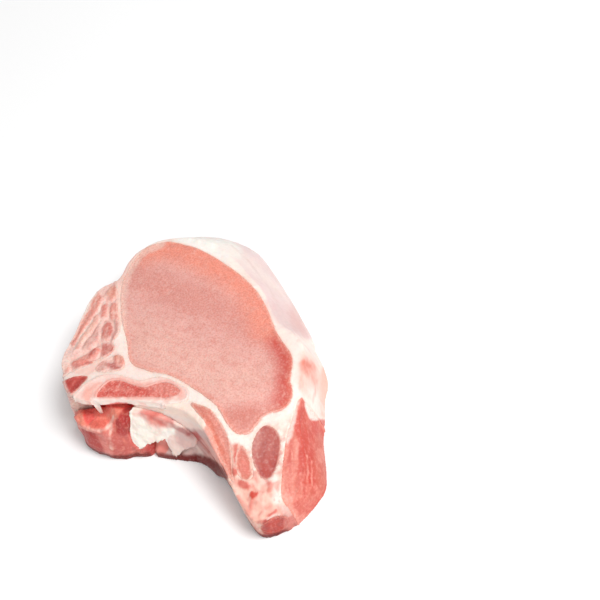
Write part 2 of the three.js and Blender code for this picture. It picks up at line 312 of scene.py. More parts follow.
class Skin:
    """A piece's vertices in mm, with what its relief and colours are worked out from.

    points: where they are                  plan: the same, seen from above
    drawn: points with a waver, so that no border is dead straight
    pixels: where the picture shows drawn   normals: which way the skin faces
    seam: distance from the next tissue     towards_camera: 1 face on, 0 edge on, -1 facing away
    facing: 1 where the camera sees it      up: 1 where it faces up
    """

    def __init__(self, piece, node):
        self.piece = piece
        self.others = tree_of([name for name in solids if name != node])
        self.measure()

    def measure(self):
        """Works its fields out from the mesh."""
        mesh = self.piece.data
        count = len(mesh.vertices)
        place = np.empty(count * 3)
        mesh.vertices.foreach_get("co", place)
        self.points = place.reshape(-1, 3) / MM
        normal = np.empty(count * 3)
        mesh.vertex_normals.foreach_get("vector", normal)
        self.normals = normal.reshape(-1, 3)
        reach = FARTHEST_SEAM * MM
        nearest = [self.others.find_nearest(Vector(p), reach)[3] for p in self.points * MM]
        self.seam = np.array([reach if gap is None else gap for gap in nearest]) / MM
        waver = [self.noise(2.6, seed=90 + axis) + 0.5 * self.noise(1.1, seed=93 + axis)
                 for axis in range(3)]
        self.plan = self.points[:, :2]
        self.drawn = self.points + np.column_stack(waver) * EDGE_WAVER
        self.pixels = pixels_of(self.drawn)
        sight = np.array(CAMERA.translation) / MM - self.points
        sight /= np.linalg.norm(sight, axis=1)[:, None]
        self.towards_camera = np.einsum("ij,ij->i", self.normals, sight)
        self.facing = ramp(self.towards_camera, *FACING_ENDS)
        self.up = ramp(self.normals[:, 2], *UP_ENDS)

    def noise(self, size, seed):
        """Soft noise over the skin."""
        return cloud(self.points, size, seed)

    def swells(self, table):
        """A sum of noises, from their heights, the widths of their blobs and their seeds."""
        return sum(height * self.noise(size, seed) for height, size, seed in table)

    def move(self, steps):
        """Moves the vertices by steps in mm, and none of them under the floor."""
        self.points = self.points + steps
        self.points[:, 2] = np.maximum(self.points[:, 2], 0)
        flat = (self.points * MM).astype(np.float32).ravel()
        self.piece.data.vertices.foreach_set("co", flat)
        self.piece.data.update()

    def fill_gap(self):
        """Pushes the walls that face another tissue out to meet it, which leaves no dark slit."""
        steps = self.normals * (GAP_REACH * ramp(self.seam, start=1.1, end=0.55))[:, None]
        steps[:, 2] = np.minimum(steps[:, 2], 0)
        self.move(steps)
        self.measure()

    def line(self, pixels, width, soft):
        """1 along a line of the cut face, 0 beyond its width in mm. It runs down through the slice."""
        gap = from_line(self.drawn[:, :2], rounded(on_chop(pixels)[:, :2], closed=False))
        return ramp(gap, width / 2 + soft, width / 2)

    def patch(self, pixels, soft):
        """1 within an outline on the cut face, which runs down through the slice."""
        depth = inside(self.drawn[:, :2], rounded(on_chop(pixels)[:, :2], closed=True))
        return ramp(depth, -soft / 2, soft / 2)

    def side_line(self, pixels, width, soft):
        """1 along a line on any side of the chop."""
        gap = from_line(self.drawn, rounded(on_chop(pixels), closed=False))
        return ramp(gap, width / 2 + soft, width / 2)

    def side_patch(self, pixels, soft, reach):
        """1 within an outline of the picture, on skin that it shows within reach in mm of its middle.

        The softness is in pixels.
        """
        depth = inside(self.pixels, rounded(pixels, closed=True))
        middle = on_chop([np.mean(pixels, axis=0)])[0]
        near = ramp(np.linalg.norm(self.points - middle, axis=1), reach + REACH_FADE, reach)
        return ramp(depth, -soft / 2, soft / 2) * near * self.facing

    def edge(self, width):
        """1 where another tissue is near, fading out unevenly over width in mm."""
        uneven = SEAM_UNEVENNESS * width * self.noise(1.6, seed=97)
        return ramp(self.seam + uneven, start=width, end=0.25)

    def colour(self, shade):
        """Starts the piece's colours with one shade."""
        self.colours = np.tile(linear(shade), (len(self.points), 1))

    def fade(self, shade, value, strength, start, whole):
        """Mixes a shade in where a value goes from start to whole."""
        self.tint(shade, strength * ramp(value, start, whole))

    def tint(self, shade, amount):
        """Mixes a shade in where amount is above 0."""
        self.colours += (linear(shade) - self.colours) * np.clip(amount, 0, 1)[:, None]

    def paint(self, patches):
        """Mixes in patches of the cut face: shade, strength, softness and outline."""
        for shade, strength, soft, outline in patches:
            self.tint(shade, strength * self.patch(outline, soft))

    def paint_side(self, patches):
        """Mixes in patches of any side: shade, strength, softness in pixels and outline."""
        for shade, strength, soft, outline in patches:
            self.tint(shade, strength * self.side_patch(outline, soft, SIDE_REACH))

    def band(self, bands):
        """Mixes in soft bands of the cut face: shade, strength, width, softness and corners."""
        for shade, strength, width, soft, corners in bands:
            self.tint(shade, strength * self.line(corners, width, soft))

    def mottle(self, blots, where=1):
        """Mixes in blots: shade, strength, width, seed, and the noise where they start and are whole.

        where is 1 on the skin that they cover.
        """
        for shade, strength, size, seed, start, whole in blots:
            self.tint(shade, strength * ramp(self.noise(size, seed), start, whole) * where)

    def comb(self, strands):
        """Mixes in fibres: as blots, with a heading, a width and a length for their width."""
        for shade, strength, heading, width, length, seed, start, whole in strands:
            self.fade(shade, fibres(self.points, heading, width, length, seed), strength, start, whole)

    def border(self, shade, strength, width):
        """Mixes in the shade of the membrane where another tissue is near."""
        self.tint(shade, strength * self.edge(width))

    def draw(self, lines):
        """Mixes in uneven lines on any side: shade, strength, width and corners."""
        uneven = LINE_MIDDLE + LINE_SPREAD * self.noise(2.2, seed=99)
        for shade, strength, width, corners in lines:
            self.tint(shade, strength * uneven * self.side_line(corners, width, width * LINE_SOFTNESS))

    def wet_shaded_foot(self, height):
        """Darkens the wet rim above the floor with painted contact shade, up to a height in mm, which is
        TAIL_FOOT along the tail.
        """
        height = height - (height - TAIL_FOOT) * ramp(self.pixels[:, 1], *TAIL_ROWS)
        low = (self.points[:, 2] + WET_SHADE_WAVER * self.noise(2, seed=98)) / height
        level = self.normals[:, :2]
        towards = level @ WET_SHADED_SIDE / np.maximum(np.linalg.norm(level, axis=1), 0.3)
        # where the rim takes the wet meat's colour and the painted contact shade
        wet = ramp(low, start=1, end=0.5) * ramp(towards, start=0.5, end=0.72) * self.on_rim()
        self.tint(WET_CONTACT_SHADE, WET_SHADE_STRENGTH * wet)

    def on_rim(self):
        """1 on the chop's outside, and 0 inside a seam."""
        return ramp(self.seam, start=0.4, end=1)

    def store(self):
        """Keeps the colours as an attribute of the mesh."""
        mesh = self.piece.data
        attribute = mesh.color_attributes.new("tone", "FLOAT_COLOR", "POINT")
        full = np.column_stack([self.colours * OWN_SHARE, np.ones(len(self.colours))])
        attribute.data.foreach_set("color", full.astype(np.float32).ravel())


def linear(shade):
    """A picture colour as light values, by the curve of sRGB pictures."""
    part = np.array(shade, float) / WHITE_VALUE
    return np.where(part <= 0.04045, part / 12.92, ((part + 0.055) / 1.055) ** 2.4)


def select_only(piece):
    """Selects one piece and makes it active."""
    bpy.ops.object.select_all(action="DESELECT")
    piece.select_set(True)
    bpy.context.view_layer.objects.active = piece


def close_copy(name, node, cell):
    """A copy of a CAD node whose skin is a close even mesh, with cells of that size in mm."""
    select_only(solids[node])
    bpy.ops.object.duplicate()
    piece = bpy.context.view_layer.objects.active
    piece.name = name
    piece.data.name = name
    piece.parent = None
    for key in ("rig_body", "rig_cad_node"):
        del piece[key]
    piece.data.materials.clear()
    bpy.ops.object.mode_set(mode="EDIT")
    bpy.ops.mesh.select_all(action="SELECT")
    bpy.ops.mesh.remove_doubles(threshold=WELD * MM)
    bpy.ops.object.mode_set(mode="OBJECT")
    remesh = piece.modifiers.new("close mesh", "REMESH")
    remesh.mode = "VOXEL"
    remesh.voxel_size = cell * MM
    bpy.ops.object.modifier_apply(modifier=remesh.name)
    soften = piece.modifiers.new("soft edges", "SMOOTH")
    soften.iterations = SMOOTHING
    bpy.ops.object.modifier_apply(modifier=soften.name)
    bpy.ops.object.shade_smooth()
    return piece


def on_top(skin, heights):
    """Steps that raise the upper cut face by heights in mm."""
    steps = np.zeros_like(skin.points)
    steps[:, 2] = heights * skin.up * ramp(skin.points[:, 2], *UPPER_FACE_ENDS)
    return steps


def outwards(skin, amount):
    """Steps along the skin's normals, of amount in mm."""
    return skin.normals * amount[:, None]


def seam_fill(skin):
    """The cut face rises a little at its seams, where the close mesh has rounded the edges off."""
    return SEAM_FILL * ramp(skin.seam, start=1.1, end=0.3)


# Places in the picture, in pixels across and down.
# A patch is a shade, its strength, its softness and its outline. A line is a shade, its strength, its width
# and its corners. A band has a softness after its width. Widths and softnesses are in mm, but in pixels for
# the softness of what paint_side gets.
EYE_PALE_PATCH = [
    (124, 322), (150, 318), (185, 345), (225, 362), (262, 366), (270, 380), (250, 392), (225, 402),
    (195, 390), (150, 370), (128, 356),
]
EYE_PALE_SOFT = 24
EYE_PALE_STRENGTH = 0.95
EYE_STREAK_LINE = [(132, 272), (155, 285), (185, 296), (215, 306), (240, 318), (262, 332)]
EYE_BANDS = [
    (EYE_STREAK, 0.65, 4, 9, EYE_STREAK_LINE),
    (EYE_ORANGE, 0.95, 5, 11, [
        (150, 249), (175, 245), (210, 260), (240, 277), (258, 292), (265, 310), (272, 326)]),
    (EYE_RED, 0.95, 3, 8, [(282, 342), (288, 354), (292, 366), (290, 380), (292, 395), (287, 402)]),
]
EYE_PATCHES = [
    (EYE_ROSE, 0.9, 7, [(222, 408), (262, 405), (280, 408), (262, 414), (250, 430), (236, 432), (226, 424)]),
]
EYE_SOFT_EDGE = [
    (PALE_FASCIA, 0.6, 1.5, 3, [(121, 330), (121, 305), (123, 284), (131, 266), (144, 252), (160, 245)]),
]
MARBLED_PATCHES = [
    (LEAN_ROSE, 1, 2, [
        (96, 293), (103, 296), (101, 304), (96, 313), (89, 323), (82, 333), (76, 341), (72, 348), (68, 345),
        (73, 334), (80, 321), (87, 308)]),
    (LEAN_PALE, 0.9, 2, [
        (97, 314), (99, 320), (93, 329), (87, 337), (81, 346), (76, 353), (72, 352), (77, 342), (84, 332),
        (91, 322)]),
    (LEAN_ORANGE, 0.9, 2.2, [(107, 299), (108, 291), (112, 286), (118, 288), (118, 295), (113, 300)]),
    (LEAN_CORAL, 0.9, 2, [(101, 305), (107, 303), (108, 312), (106, 318), (101, 317)]),
    (LEAN_ROSE, 0.9, 1.9, [(111, 304), (117, 303), (120, 312), (119, 321), (112, 322), (109, 314)]),
    (LEAN_DULL, 1, 1.9, [
        (106, 320), (113, 323), (114, 331), (110, 340), (103, 340), (101, 333), (104, 326)]),
    (LEAN_GREY, 0.95, 1.9, [
        (114, 321), (119, 320), (121, 330), (120, 341), (110, 342), (113, 334), (115, 328)]),
    (LEAN_GREY, 0.8, 2.2, [
        (100, 322), (100, 331), (99, 339), (91, 347), (84, 351), (82, 348), (88, 340), (94, 331)]),
    (LEAN_ROSE, 0.75, 2.2, [
        (72, 362), (82, 356), (90, 352), (98, 346), (101, 350), (96, 357), (88, 361), (80, 364), (73, 367)]),
    (LEAN_CORAL, 0.8, 2.2, [(89, 355), (94, 348), (100, 346), (101, 351), (95, 357), (89, 359)]),
    (LEAN_DULL, 0.8, 2.4, [(102, 344), (110, 343), (116, 348), (113, 355), (104, 358), (99, 352)]),
    (LEAN_CORAL, 0.9, 2.2, [(71, 364), (78, 360), (88, 360), (96, 360), (93, 366), (84, 367), (74, 370)]),
    (LEAN_ROSE, 0.9, 2, [(63, 363), (69, 364), (71, 371), (66, 375), (62, 370)]),
    (LEAN_PALE, 0.8, 2.2, [(78, 370), (90, 367), (96, 370), (88, 374), (79, 374)]),
]
MARBLED_DARK = [
    (LEAN_DARK, 0.75, 0.8, [(92, 352), (96, 349), (97, 352), (92, 356), (89, 357)]),
    (LEAN_DARK, 0.6, 0.8, [(112, 348), (115, 348), (114, 353), (111, 353)]),
    (LEAN_DARK, 0.45, 1, [(103, 346), (108, 345), (108, 350), (103, 350)]),
    (LEAN_DARK, 0.6, 0.9, [(73, 366), (79, 363), (80, 366), (75, 369)]),
    (LEAN_DARK, 0.5, 0.9, [(84, 364), (90, 362), (94, 363), (88, 366)]),
    (LEAN_DARK, 0.3, 1.2, [(104, 332), (110, 331), (109, 338), (104, 339)]),
]
MARBLING_LINES = [
    (HIGHLIGHT_AND_MARBLING_WHITE, 0.6, 0.6, [(104, 302), (98, 312), (91, 322), (84, 332), (78, 341), (73, 350)]),
    (PALE_FASCIA, 0.6, 0.5, [(100, 320), (94, 330), (88, 338), (82, 347)]),
    (PALE_FASCIA, 0.4, 0.4, [(99, 298), (94, 306), (87, 318), (79, 331), (73, 341)]),
    (PALE_FASCIA, 0.6, 0.5, [(108, 302), (109, 313), (108, 320), (102, 328), (100, 340), (94, 347)]),
    (PALE_FASCIA, 0.6, 0.4, [(109, 303), (115, 300), (119, 297)]),
    (PALE_FASCIA, 0.6, 0.4, [(106, 319), (112, 322), (115, 326), (112, 334), (110, 340)]),
    (PALE_FASCIA, 0.6, 0.4, [(110, 314), (115, 312), (119, 314)]),
    (PALE_FASCIA, 0.7, 0.6, [(101, 342), (93, 349), (87, 353), (80, 357), (70, 360)]),
    (PALE_FASCIA, 0.6, 0.5, [(101, 344), (101, 352), (98, 358), (90, 361)]),
    (HIGHLIGHT_AND_MARBLING_WHITE, 0.45, 0.9, [(112, 357), (103, 359), (94, 366), (84, 370), (72, 372)]),
    (FAT_GREY, 0.5, 0.6, [(110, 338), (114, 341), (119, 341)]),
]
# painted highlight along the lit left rim
MARBLED_RIM_HIGHLIGHT = [
    (HIGHLIGHT_AND_MARBLING_WHITE, 0.95, 5, [
        (92, 276), (110, 276), (99, 291), (89, 307), (80, 324), (72, 340), (65, 354), (62, 364), (52, 366),
        (56, 335)]),
    (HIGHLIGHT_AND_MARBLING_WHITE, 0.6, 4, [(56, 350), (72, 350), (70, 360), (64, 374), (54, 376)]),
    (LEAN_GROUND, 0.6, 4, [(60, 352), (72, 346), (84, 352), (74, 359), (62, 362)]),
]
UPPER_RIB_PATCHES = [
    (LEAN_ROSE, 0.9, 1.6, [(112, 359), (118, 357), (125, 360), (123, 366), (114, 365)]),
    (LEAN_ORANGE, 0.9, 1.2, [(113, 359), (117, 355), (124, 355), (128, 358), (126, 361), (116, 361)]),
    (LEAN_GREY, 0.9, 1.4, [(94, 369), (100, 363), (106, 361), (110, 365), (107, 371), (98, 372)]),
    (LEAN_DARK, 0.8, 1.6, [(106, 364), (112, 362), (118, 365), (122, 369), (118, 371), (110, 368)]),
    (LEAN_ROSE, 0.8, 1.4, [(121, 362), (130, 361), (133, 367), (124, 371), (120, 367)]),
]
END_PATCHES = [
    (BLOOD, 0.55, 1.6, [(78, 380), (90, 377), (84, 383), (79, 390), (75, 394), (73, 388)]),
    (BLOOD, 0.35, 1.6, [(65, 378), (70, 379), (70, 387), (66, 386)]),
    (LEAN_CORAL, 0.5, 1.2, [(64, 375), (88, 374), (84, 378), (66, 378)]),
]
LEFT_SIDE = [
    # painted shade: the left side's wall greyish
    (SIDE_GREY, 0.85, 3, [
        (60, 376), (64, 378), (67, 390), (73, 395), (79, 402), (81, 414), (73, 418), (66, 400)]),
    (SIDE_CREAM, 0.9, 3, [(72, 398), (84, 400), (84, 408), (78, 412), (71, 406)]),
]
BLUISH_FACET = [
    (279, 329), (290, 331), (300, 336), (310, 341), (345, 330), (330, 220), (180, 220), (222, 251),
    (243, 272), (255, 284), (266, 304),
]
BLUISH_STRENGTH = 0.9
FACET_SHADES_AND_HIGHLIGHTS = [
    (FAT_GREYISH, 0.7, 10, [(262, 300), (276, 300), (300, 320), (310, 338), (292, 331), (278, 326)]),
    # painted highlight on the fat's lit top edge
    (FAT_LIT, 1, 8, [(170, 236), (200, 236), (236, 240), (244, 256), (232, 260), (206, 254), (182, 247)]),
    # painted highlight along the facet's crease
    (FAT_WHITE, 0.55, 8, [
        (200, 236), (232, 243), (262, 268), (284, 292), (300, 318), (288, 300), (262, 280)]),
    (SIDE_ROSE, 0.35, 12, [(286, 304), (300, 306), (312, 342), (296, 336)]),
    (TAIL_PINK, 0.85, 5, [(320, 366), (332, 366), (332, 418), (318, 418), (321, 392)]),
]
FAT_PATCHES = [
    (FAT_PINK, 0.95, 4, [(298, 360), (314, 358), (322, 374), (321, 398), (306, 402), (298, 380)]),
    (FAT_ROSE, 0.9, 2.4, [(301, 363), (308, 361), (315, 365), (317, 373), (310, 378), (303, 374)]),
    (FAT_PINK, 0.6, 4, [(303, 376), (314, 376), (317, 398), (304, 400)]),
    (FAT_WHITE, 0.9, 2, [(304, 398), (320, 396), (323, 416), (309, 421), (304, 412)]),
    (FAT_PINK, 0.8, 1.6, [
        (100, 245), (160, 238), (150, 250), (134, 266), (126, 284), (124, 300), (123, 320), (118, 320),
        (118, 290)]),
    (LEAN_GROUND, 0.6, 1.4, [
        (123, 252), (146, 244), (134, 262), (125, 284), (123, 312), (119, 312), (119, 288)]),
    (FAT_PINK, 0.8, 1.6, [
        (60, 366), (80, 372), (98, 360), (112, 356), (118, 352), (112, 362), (94, 372), (84, 378),
        (60, 378)]),
    (LEAN_ROSE, 0.85, 1.6, [(114, 359), (118, 358), (123, 361), (121, 365), (115, 364)]),
    (FAT_GREY, 0.5, 1.6, [(87, 381), (100, 374), (112, 374), (100, 382), (92, 390), (85, 388)]),
    (FAT_PINK, 0.6, 2, [(115, 320), (125, 318), (127, 330), (118, 344), (112, 352), (118, 356), (129, 350)]),
    (FAT_WHITE, 0.9, 2, [(121, 322), (127, 322), (129, 344), (126, 358), (116, 353), (118, 345)]),
    (FAT_WHITE, 0.8, 1.5, [
        (215, 404), (224, 412), (232, 428), (236, 440), (232, 444), (226, 430), (219, 416)]),
]
FAT_LINES = [
    (FAT_ROSE, 0.3, 0.8, [(312, 378), (316, 388), (313, 401)]),
    (FAT_ROSE, 0.2, 0.7, [(300, 364), (302, 380), (301, 396)]),
    (FAT_GREY, 0.5, 0.8, [(299, 341), (311, 352), (319, 366)]),
    (FAT_GREY, 0.4, 0.8, [(232, 246), (256, 270), (276, 300), (287, 322)]),
    (FAT_GREY, 0.35, 0.8, [(284, 292), (297, 312), (306, 334)]),
]
TAIL_GROUND = [
    (TAIL_PINK, 0.8, 4, [
        (226, 476), (240, 478), (262, 480), (281, 497), (298, 520), (290, 545), (250, 545), (222, 490)]),
    (TAIL_PALE, 0.8, 2, [(228, 482), (237, 484), (244, 494), (248, 506), (241, 508), (233, 494)]),
    (TAIL_PALE, 0.7, 2, [
        (250, 478), (262, 481), (265, 492), (276, 500), (278, 508), (262, 512), (260, 500)]),
    (FAT_WHITE, 0.8, 1.6, [
        (274, 482), (279, 474), (280, 490), (283, 503), (281, 508), (272, 503), (275, 494)]),
]
TAIL_MUSCLES = [
    (FAT_GREY, 0.6, 2, [(280, 505), (287, 505), (297, 514), (297, 519), (286, 521), (281, 514)]),
    (STRIP_PINK, 0.95, 1.6, [
        (230, 447), (236, 443), (240, 444), (239, 470), (236, 476), (231, 477), (229, 464)]),
    (SMALL_RED, 0.7, 1.6, [(232, 450), (236, 448), (240, 450), (239, 464), (234, 467), (232, 460)]),
    (SMALL_RED, 0.6, 1.8, [(216, 455), (226, 452), (232, 458), (231, 468), (228, 478), (224, 478)]),
]
TAIL_BITS = [
    (RED_PINK, 0.7, 1.6, [
        (200, 414), (206, 420), (212, 434), (217, 450), (223, 466), (225, 480), (219, 466), (209, 444),
        (202, 426)]),
    (SMALL_RED, 0.85, 1, [(231, 470), (233, 467), (238, 468), (239, 474), (236, 477), (232, 476)]),
    (SMALL_RED, 0.9, 1, [
        (238, 481), (242, 479), (247, 482), (251, 486), (249, 490), (244, 489), (239, 486)]),
    (LEAN_DULL, 0.5, 1.2, [(252, 485), (257, 489), (259, 493), (255, 492)]),
    (RED, 1, 0.7, [
        (249, 492), (252, 491), (254, 493), (258, 492), (258, 497), (255, 499), (253, 502), (250, 500)]),
    (LEAN_CORAL, 0.8, 1.4, [(249, 500), (253, 501), (254, 509), (250, 510)]),
    (SMALL_RED, 0.65, 1.1, [
        (266, 483), (269, 481), (273, 483), (274, 488), (271, 494), (267, 492), (268, 487)]),
    (LEAN_DULL, 0.6, 1.1, [(259, 513), (263, 509), (264, 513), (258, 518)]),
    (SMALL_RED, 0.95, 0.8, [
        (267, 515), (271, 513), (274, 510), (278, 510), (277, 513), (272, 517), (268, 517)]),
    (LEAN_ROSE, 0.7, 1.6, [(253, 474), (258, 472), (260, 480), (256, 482)]),
    (LEAN_DULL, 0.85, 1.8, [
        (283, 520), (291, 518), (298, 516), (303, 518), (299, 526), (287, 533), (282, 530)]),
    (OVAL_DEEP, 0.95, 1, [
        (263, 521), (272, 519), (278, 518), (284, 520), (284, 531), (276, 535), (264, 537), (262, 530)]),
]
TAIL_LINES = [
    (TAIL_PALE, 0.9, 0.7, [(232, 448), (231, 458), (233, 466), (238, 468)]),
    (TAIL_PALE, 0.9, 0.7, [(238, 477), (245, 478), (252, 481), (260, 488)]),
    (FAT_WHITE, 0.8, 0.6, [(268, 519), (273, 517), (278, 515)]),
    (TAIL_PALE, 0.8, 0.7, [(260, 495), (261, 503), (266, 509)]),
    (LEAN_ROSE, 0.8, 0.8, [(238, 497), (243, 505), (248, 512), (254, 518)]),
    (LEAN_ROSE, 0.7, 0.8, [(258, 503), (262, 507), (270, 508)]),
    (LEAN_DULL, 0.6, 0.6, [(243, 509), (248, 515), (253, 522)]),
    (TAIL_PALE, 0.7, 0.8, [(254, 511), (256, 517), (260, 526), (262, 533)]),
    (LEAN_ROSE, 0.6, 0.6, [(278, 505), (281, 511), (280, 517)]),
]
OVAL_PATCHES = [
    (OVAL_DEEP, 0.75, 5, [(255, 463), (270, 458), (282, 456), (281, 470), (268, 481), (257, 476)]),
    (LEAN_GREY, 0.4, 3, [(256, 430), (263, 430), (262, 448), (253, 452), (253, 441)]),
    (LEAN_DULL, 0.6, 2, [(277, 440), (283, 440), (284, 458), (279, 458)]),
]
OVAL_LINES = [
    (OVAL_DARK, 0.55, 1.2, [(266, 428), (265, 437), (263, 447), (262, 458)]),
    (PALE_FASCIA, 0.4, 0.4, [(257, 455), (258, 457)]),
]
STRIP_PATCHES = [
    (STRIP_ORANGE, 0.7, 3, [
        (206, 418), (213, 425), (219, 440), (224, 456), (226, 470), (221, 468), (214, 448), (207, 432)]),
    (LEAN_GREY, 0.4, 3, [(212, 412), (222, 424), (230, 440), (233, 452), (226, 450), (217, 430)]),
]
STRIP_LINES = [
    (RED_PINK, 0.7, 0.6, [(203, 408), (213, 419), (220, 433), (226, 450), (229, 466)]),
    (LEAN_DULL, 0.4, 0.7, [(208, 409), (217, 419), (224, 432)]),
    (RED_PINK, 0.6, 0.6, [(208, 424), (215, 438), (220, 456)]),
]
INNER_PATCHES = [
    (LEAN_DULL, 0.5, 2, [(236, 444), (246, 444), (246, 452), (236, 452)]),
    (LEAN_CORAL, 0.7, 2, [(240, 458), (247, 460), (251, 472), (246, 476), (241, 468)]),
]
FLANK_PATCHES = [
    (RED_PALE, 0.7, 5, [(281, 430), (295, 424), (299, 450), (299, 500), (281, 505)]),
    (RED_PINK, 0.6, 3, [(290, 448), (297, 446), (300, 455), (297, 462), (291, 461)]),
    (RED_PALE, 0.5, 4, [(313, 436), (325, 430), (328, 480), (322, 500), (314, 490)]),
    (RED_PINK, 0.5, 3, [(317, 448), (324, 448), (324, 462), (318, 464)]),
    (RED_PINK, 0.4, 5, [(283, 482), (322, 486), (318, 502), (302, 520), (286, 508)]),
    (RED_PINK, 0.35, 4, [(286, 464), (295, 464), (295, 492), (287, 492)]),
    (RED_PALE, 0.6, 3, [(293, 404), (307, 404), (306, 418), (294, 420)]),
    (RED_PINK, 0.6, 3, [(294, 394), (306, 394), (306, 407), (294, 411)]),
    (RED_PINK, 0.6, 2, [(283, 494), (290, 493), (294, 502), (286, 506)]),
]
FLANK_FOOT = [
    (FAT_WHITE, 0.6, 3, [
        (284, 440), (289, 425), (295, 405), (298, 394), (299, 404), (295, 424), (289, 446)]),
    (RED_PINK, 0.7, 3, [(277, 480), (283, 476), (286, 492), (293, 504), (300, 514), (294, 520), (281, 504)]),
    (SMALL_RED, 0.5, 4, [(292, 504), (302, 499), (318, 500), (316, 510), (304, 518), (297, 514)]),
    (FAT_WHITE, 0.9, 3, [(303, 396), (324, 396), (326, 417), (314, 421), (307, 416)]),
    (LEAN_ROSE, 0.8, 4, [
        (284, 519), (296, 515), (306, 515), (316, 508), (324, 500), (318, 516), (298, 532), (284, 532)]),
]
TIP_PATCHES = [
    (LEAN_DULL, 0.8, 2, [(283, 510), (300, 510), (300, 540), (284, 540)]),
    (TAIL_PINK, 0.6, 1.5, [(255, 512), (266, 514), (262, 520), (263, 531), (255, 531)]),
]
FLANK_LINES = [
    (RED_DEEP, 0.7, 1.6, [(303, 400), (303, 420), (303, 445), (303, 468)]),
    (RED_DEEP, 0.5, 1.2, [(311, 424), (310, 440), (312, 458), (314, 475), (313, 492)]),
    (RED_DEEP, 0.5, 1.2, [(289, 446), (287, 456), (287, 464)]),
    (RED_PINK, 0.3, 0.7, [(288, 425), (287, 445), (286, 465), (285, 482)]),
    (RED_PINK, 0.6, 0.6, [(297, 440), (297, 458), (295, 472), (293, 488)]),
    (RED_PINK, 0.7, 0.5, [(307, 456), (308, 468), (307, 481)]),
    (RED_PINK, 0.7, 0.5, [(312, 462), (311, 474), (312, 485)]),
    (RED_PINK, 0.6, 0.5, [(301, 474), (302, 486), (301, 497)]),
]
LUMP_LIT_EDGE = [(90, 420), (108, 419), (109, 426), (100, 429), (89, 426)]
LUMP_PIT_EDGE = [(83, 408), (92, 406), (95, 414), (95, 419), (87, 424), (82, 419)]
LUMP_PATCHES = [
    (LUMP_SIDE, 1, 4, [(112, 428), (134, 428), (140, 446), (136, 458), (114, 458), (111, 444)]),
    (LUMP_RED, 1, 3, [(76, 408), (131, 404), (131, 430), (116, 430), (112, 424), (100, 430), (80, 427)]),
    (LUMP_DARK, 1, 4, [(116, 416), (124, 409), (133, 404), (133, 432), (124, 436), (114, 432)]),
    (BLOOD, 0.75, 3, [(122, 406), (134, 403), (132, 432), (127, 432)]),
    # painted light: the lit top under the rib paler
    (LUMP_PALE, 0.8, 3, [(110, 408), (122, 407), (121, 413), (116, 420), (112, 419)]),
    (LUMP_LIT, 0.8, 3, LUMP_LIT_EDGE),
    # painted light: the lit lip paler
    (LUMP_PALE, 0.9, 2, [(75, 416), (82, 411), (83, 420), (86, 426), (79, 426)]),
    (LUMP_PIT, 1, 2, LUMP_PIT_EDGE),
    (BLOOD, 0.15, 1.6, [(83, 407), (91, 405), (93, 410), (90, 415), (85, 414), (82, 411)]),
    # painted shade in the recess under the rib
    (RECESS_SHADE, 0.85, 2, [(96, 403), (135, 402), (134, 408), (124, 409), (110, 407), (98, 408)]),
    (LUMP_SIDE, 0.9, 3, [(130, 432), (146, 438), (158, 440), (160, 456), (140, 458), (128, 448)]),
    (LUMP_DARK, 0.85, 2.5, [(144, 441), (155, 441), (155, 458), (146, 458)]),
    # painted shade on the lump's lower left front
    (LUMP_DARK, 0.9, 4, [(80, 427), (92, 431), (98, 439), (104, 448), (102, 458), (90, 456), (80, 440)]),
]
LUMP_LINES = [
    (FASCIA, 0.95, 0.8, [(76, 419), (79, 425), (86, 427), (95, 430), (104, 430), (110, 424), (113, 418)]),
    (FASCIA, 0.8, 0.6, [(111, 426), (111, 434), (111, 441), (112, 449)]),
    (LUMP_PALE, 0.6, 0.8, [(100, 419), (106, 418), (110, 415)]),
]
LUMP_FEET = [
    [(86, 436), (96, 440), (106, 450), (104, 460), (84, 456)],
    [(122, 446), (142, 444), (144, 460), (122, 462)],
]
LUMP_RIGHT_FOOT = [(142, 438), (160, 438), (160, 460), (142, 460)]
LUMP_LIP = [(76, 417), (79, 424), (86, 427), (95, 430), (104, 430)]
CARTILAGE_PATCHES = [
    (CARTILAGE_PINK, 0.8, 9, [(143, 410), (160, 409), (169, 416), (170, 426), (158, 428), (147, 424)]),
    (FAT_PINK, 0.7, 3, [(131, 407), (146, 408), (144, 416), (133, 417)]),
    (MEMBRANE, 0.9, 4, [(173, 425), (200, 428), (206, 448), (190, 450), (182, 447), (176, 443)]),
    (MEMBRANE_ROSE, 0.6, 3, [(167, 434), (186, 438), (188, 454), (176, 460), (168, 450)]),
    (FOLD_PINK, 0.9, 2, [(170, 412), (190, 418), (198, 430), (186, 430), (172, 422)]),
    (MEMBRANE_DARK, 0.45, 4, [(180, 426), (192, 429), (199, 438), (194, 441), (184, 434)]),
]
CARTILAGE_LINES = [
    (CARTILAGE_RED, 1, 2.3, [(147, 412), (153, 414), (160, 418), (168, 422)]),
    (MEMBRANE_DARK, 0.8, 1.1, [(168, 422), (178, 428), (188, 434)]),
]
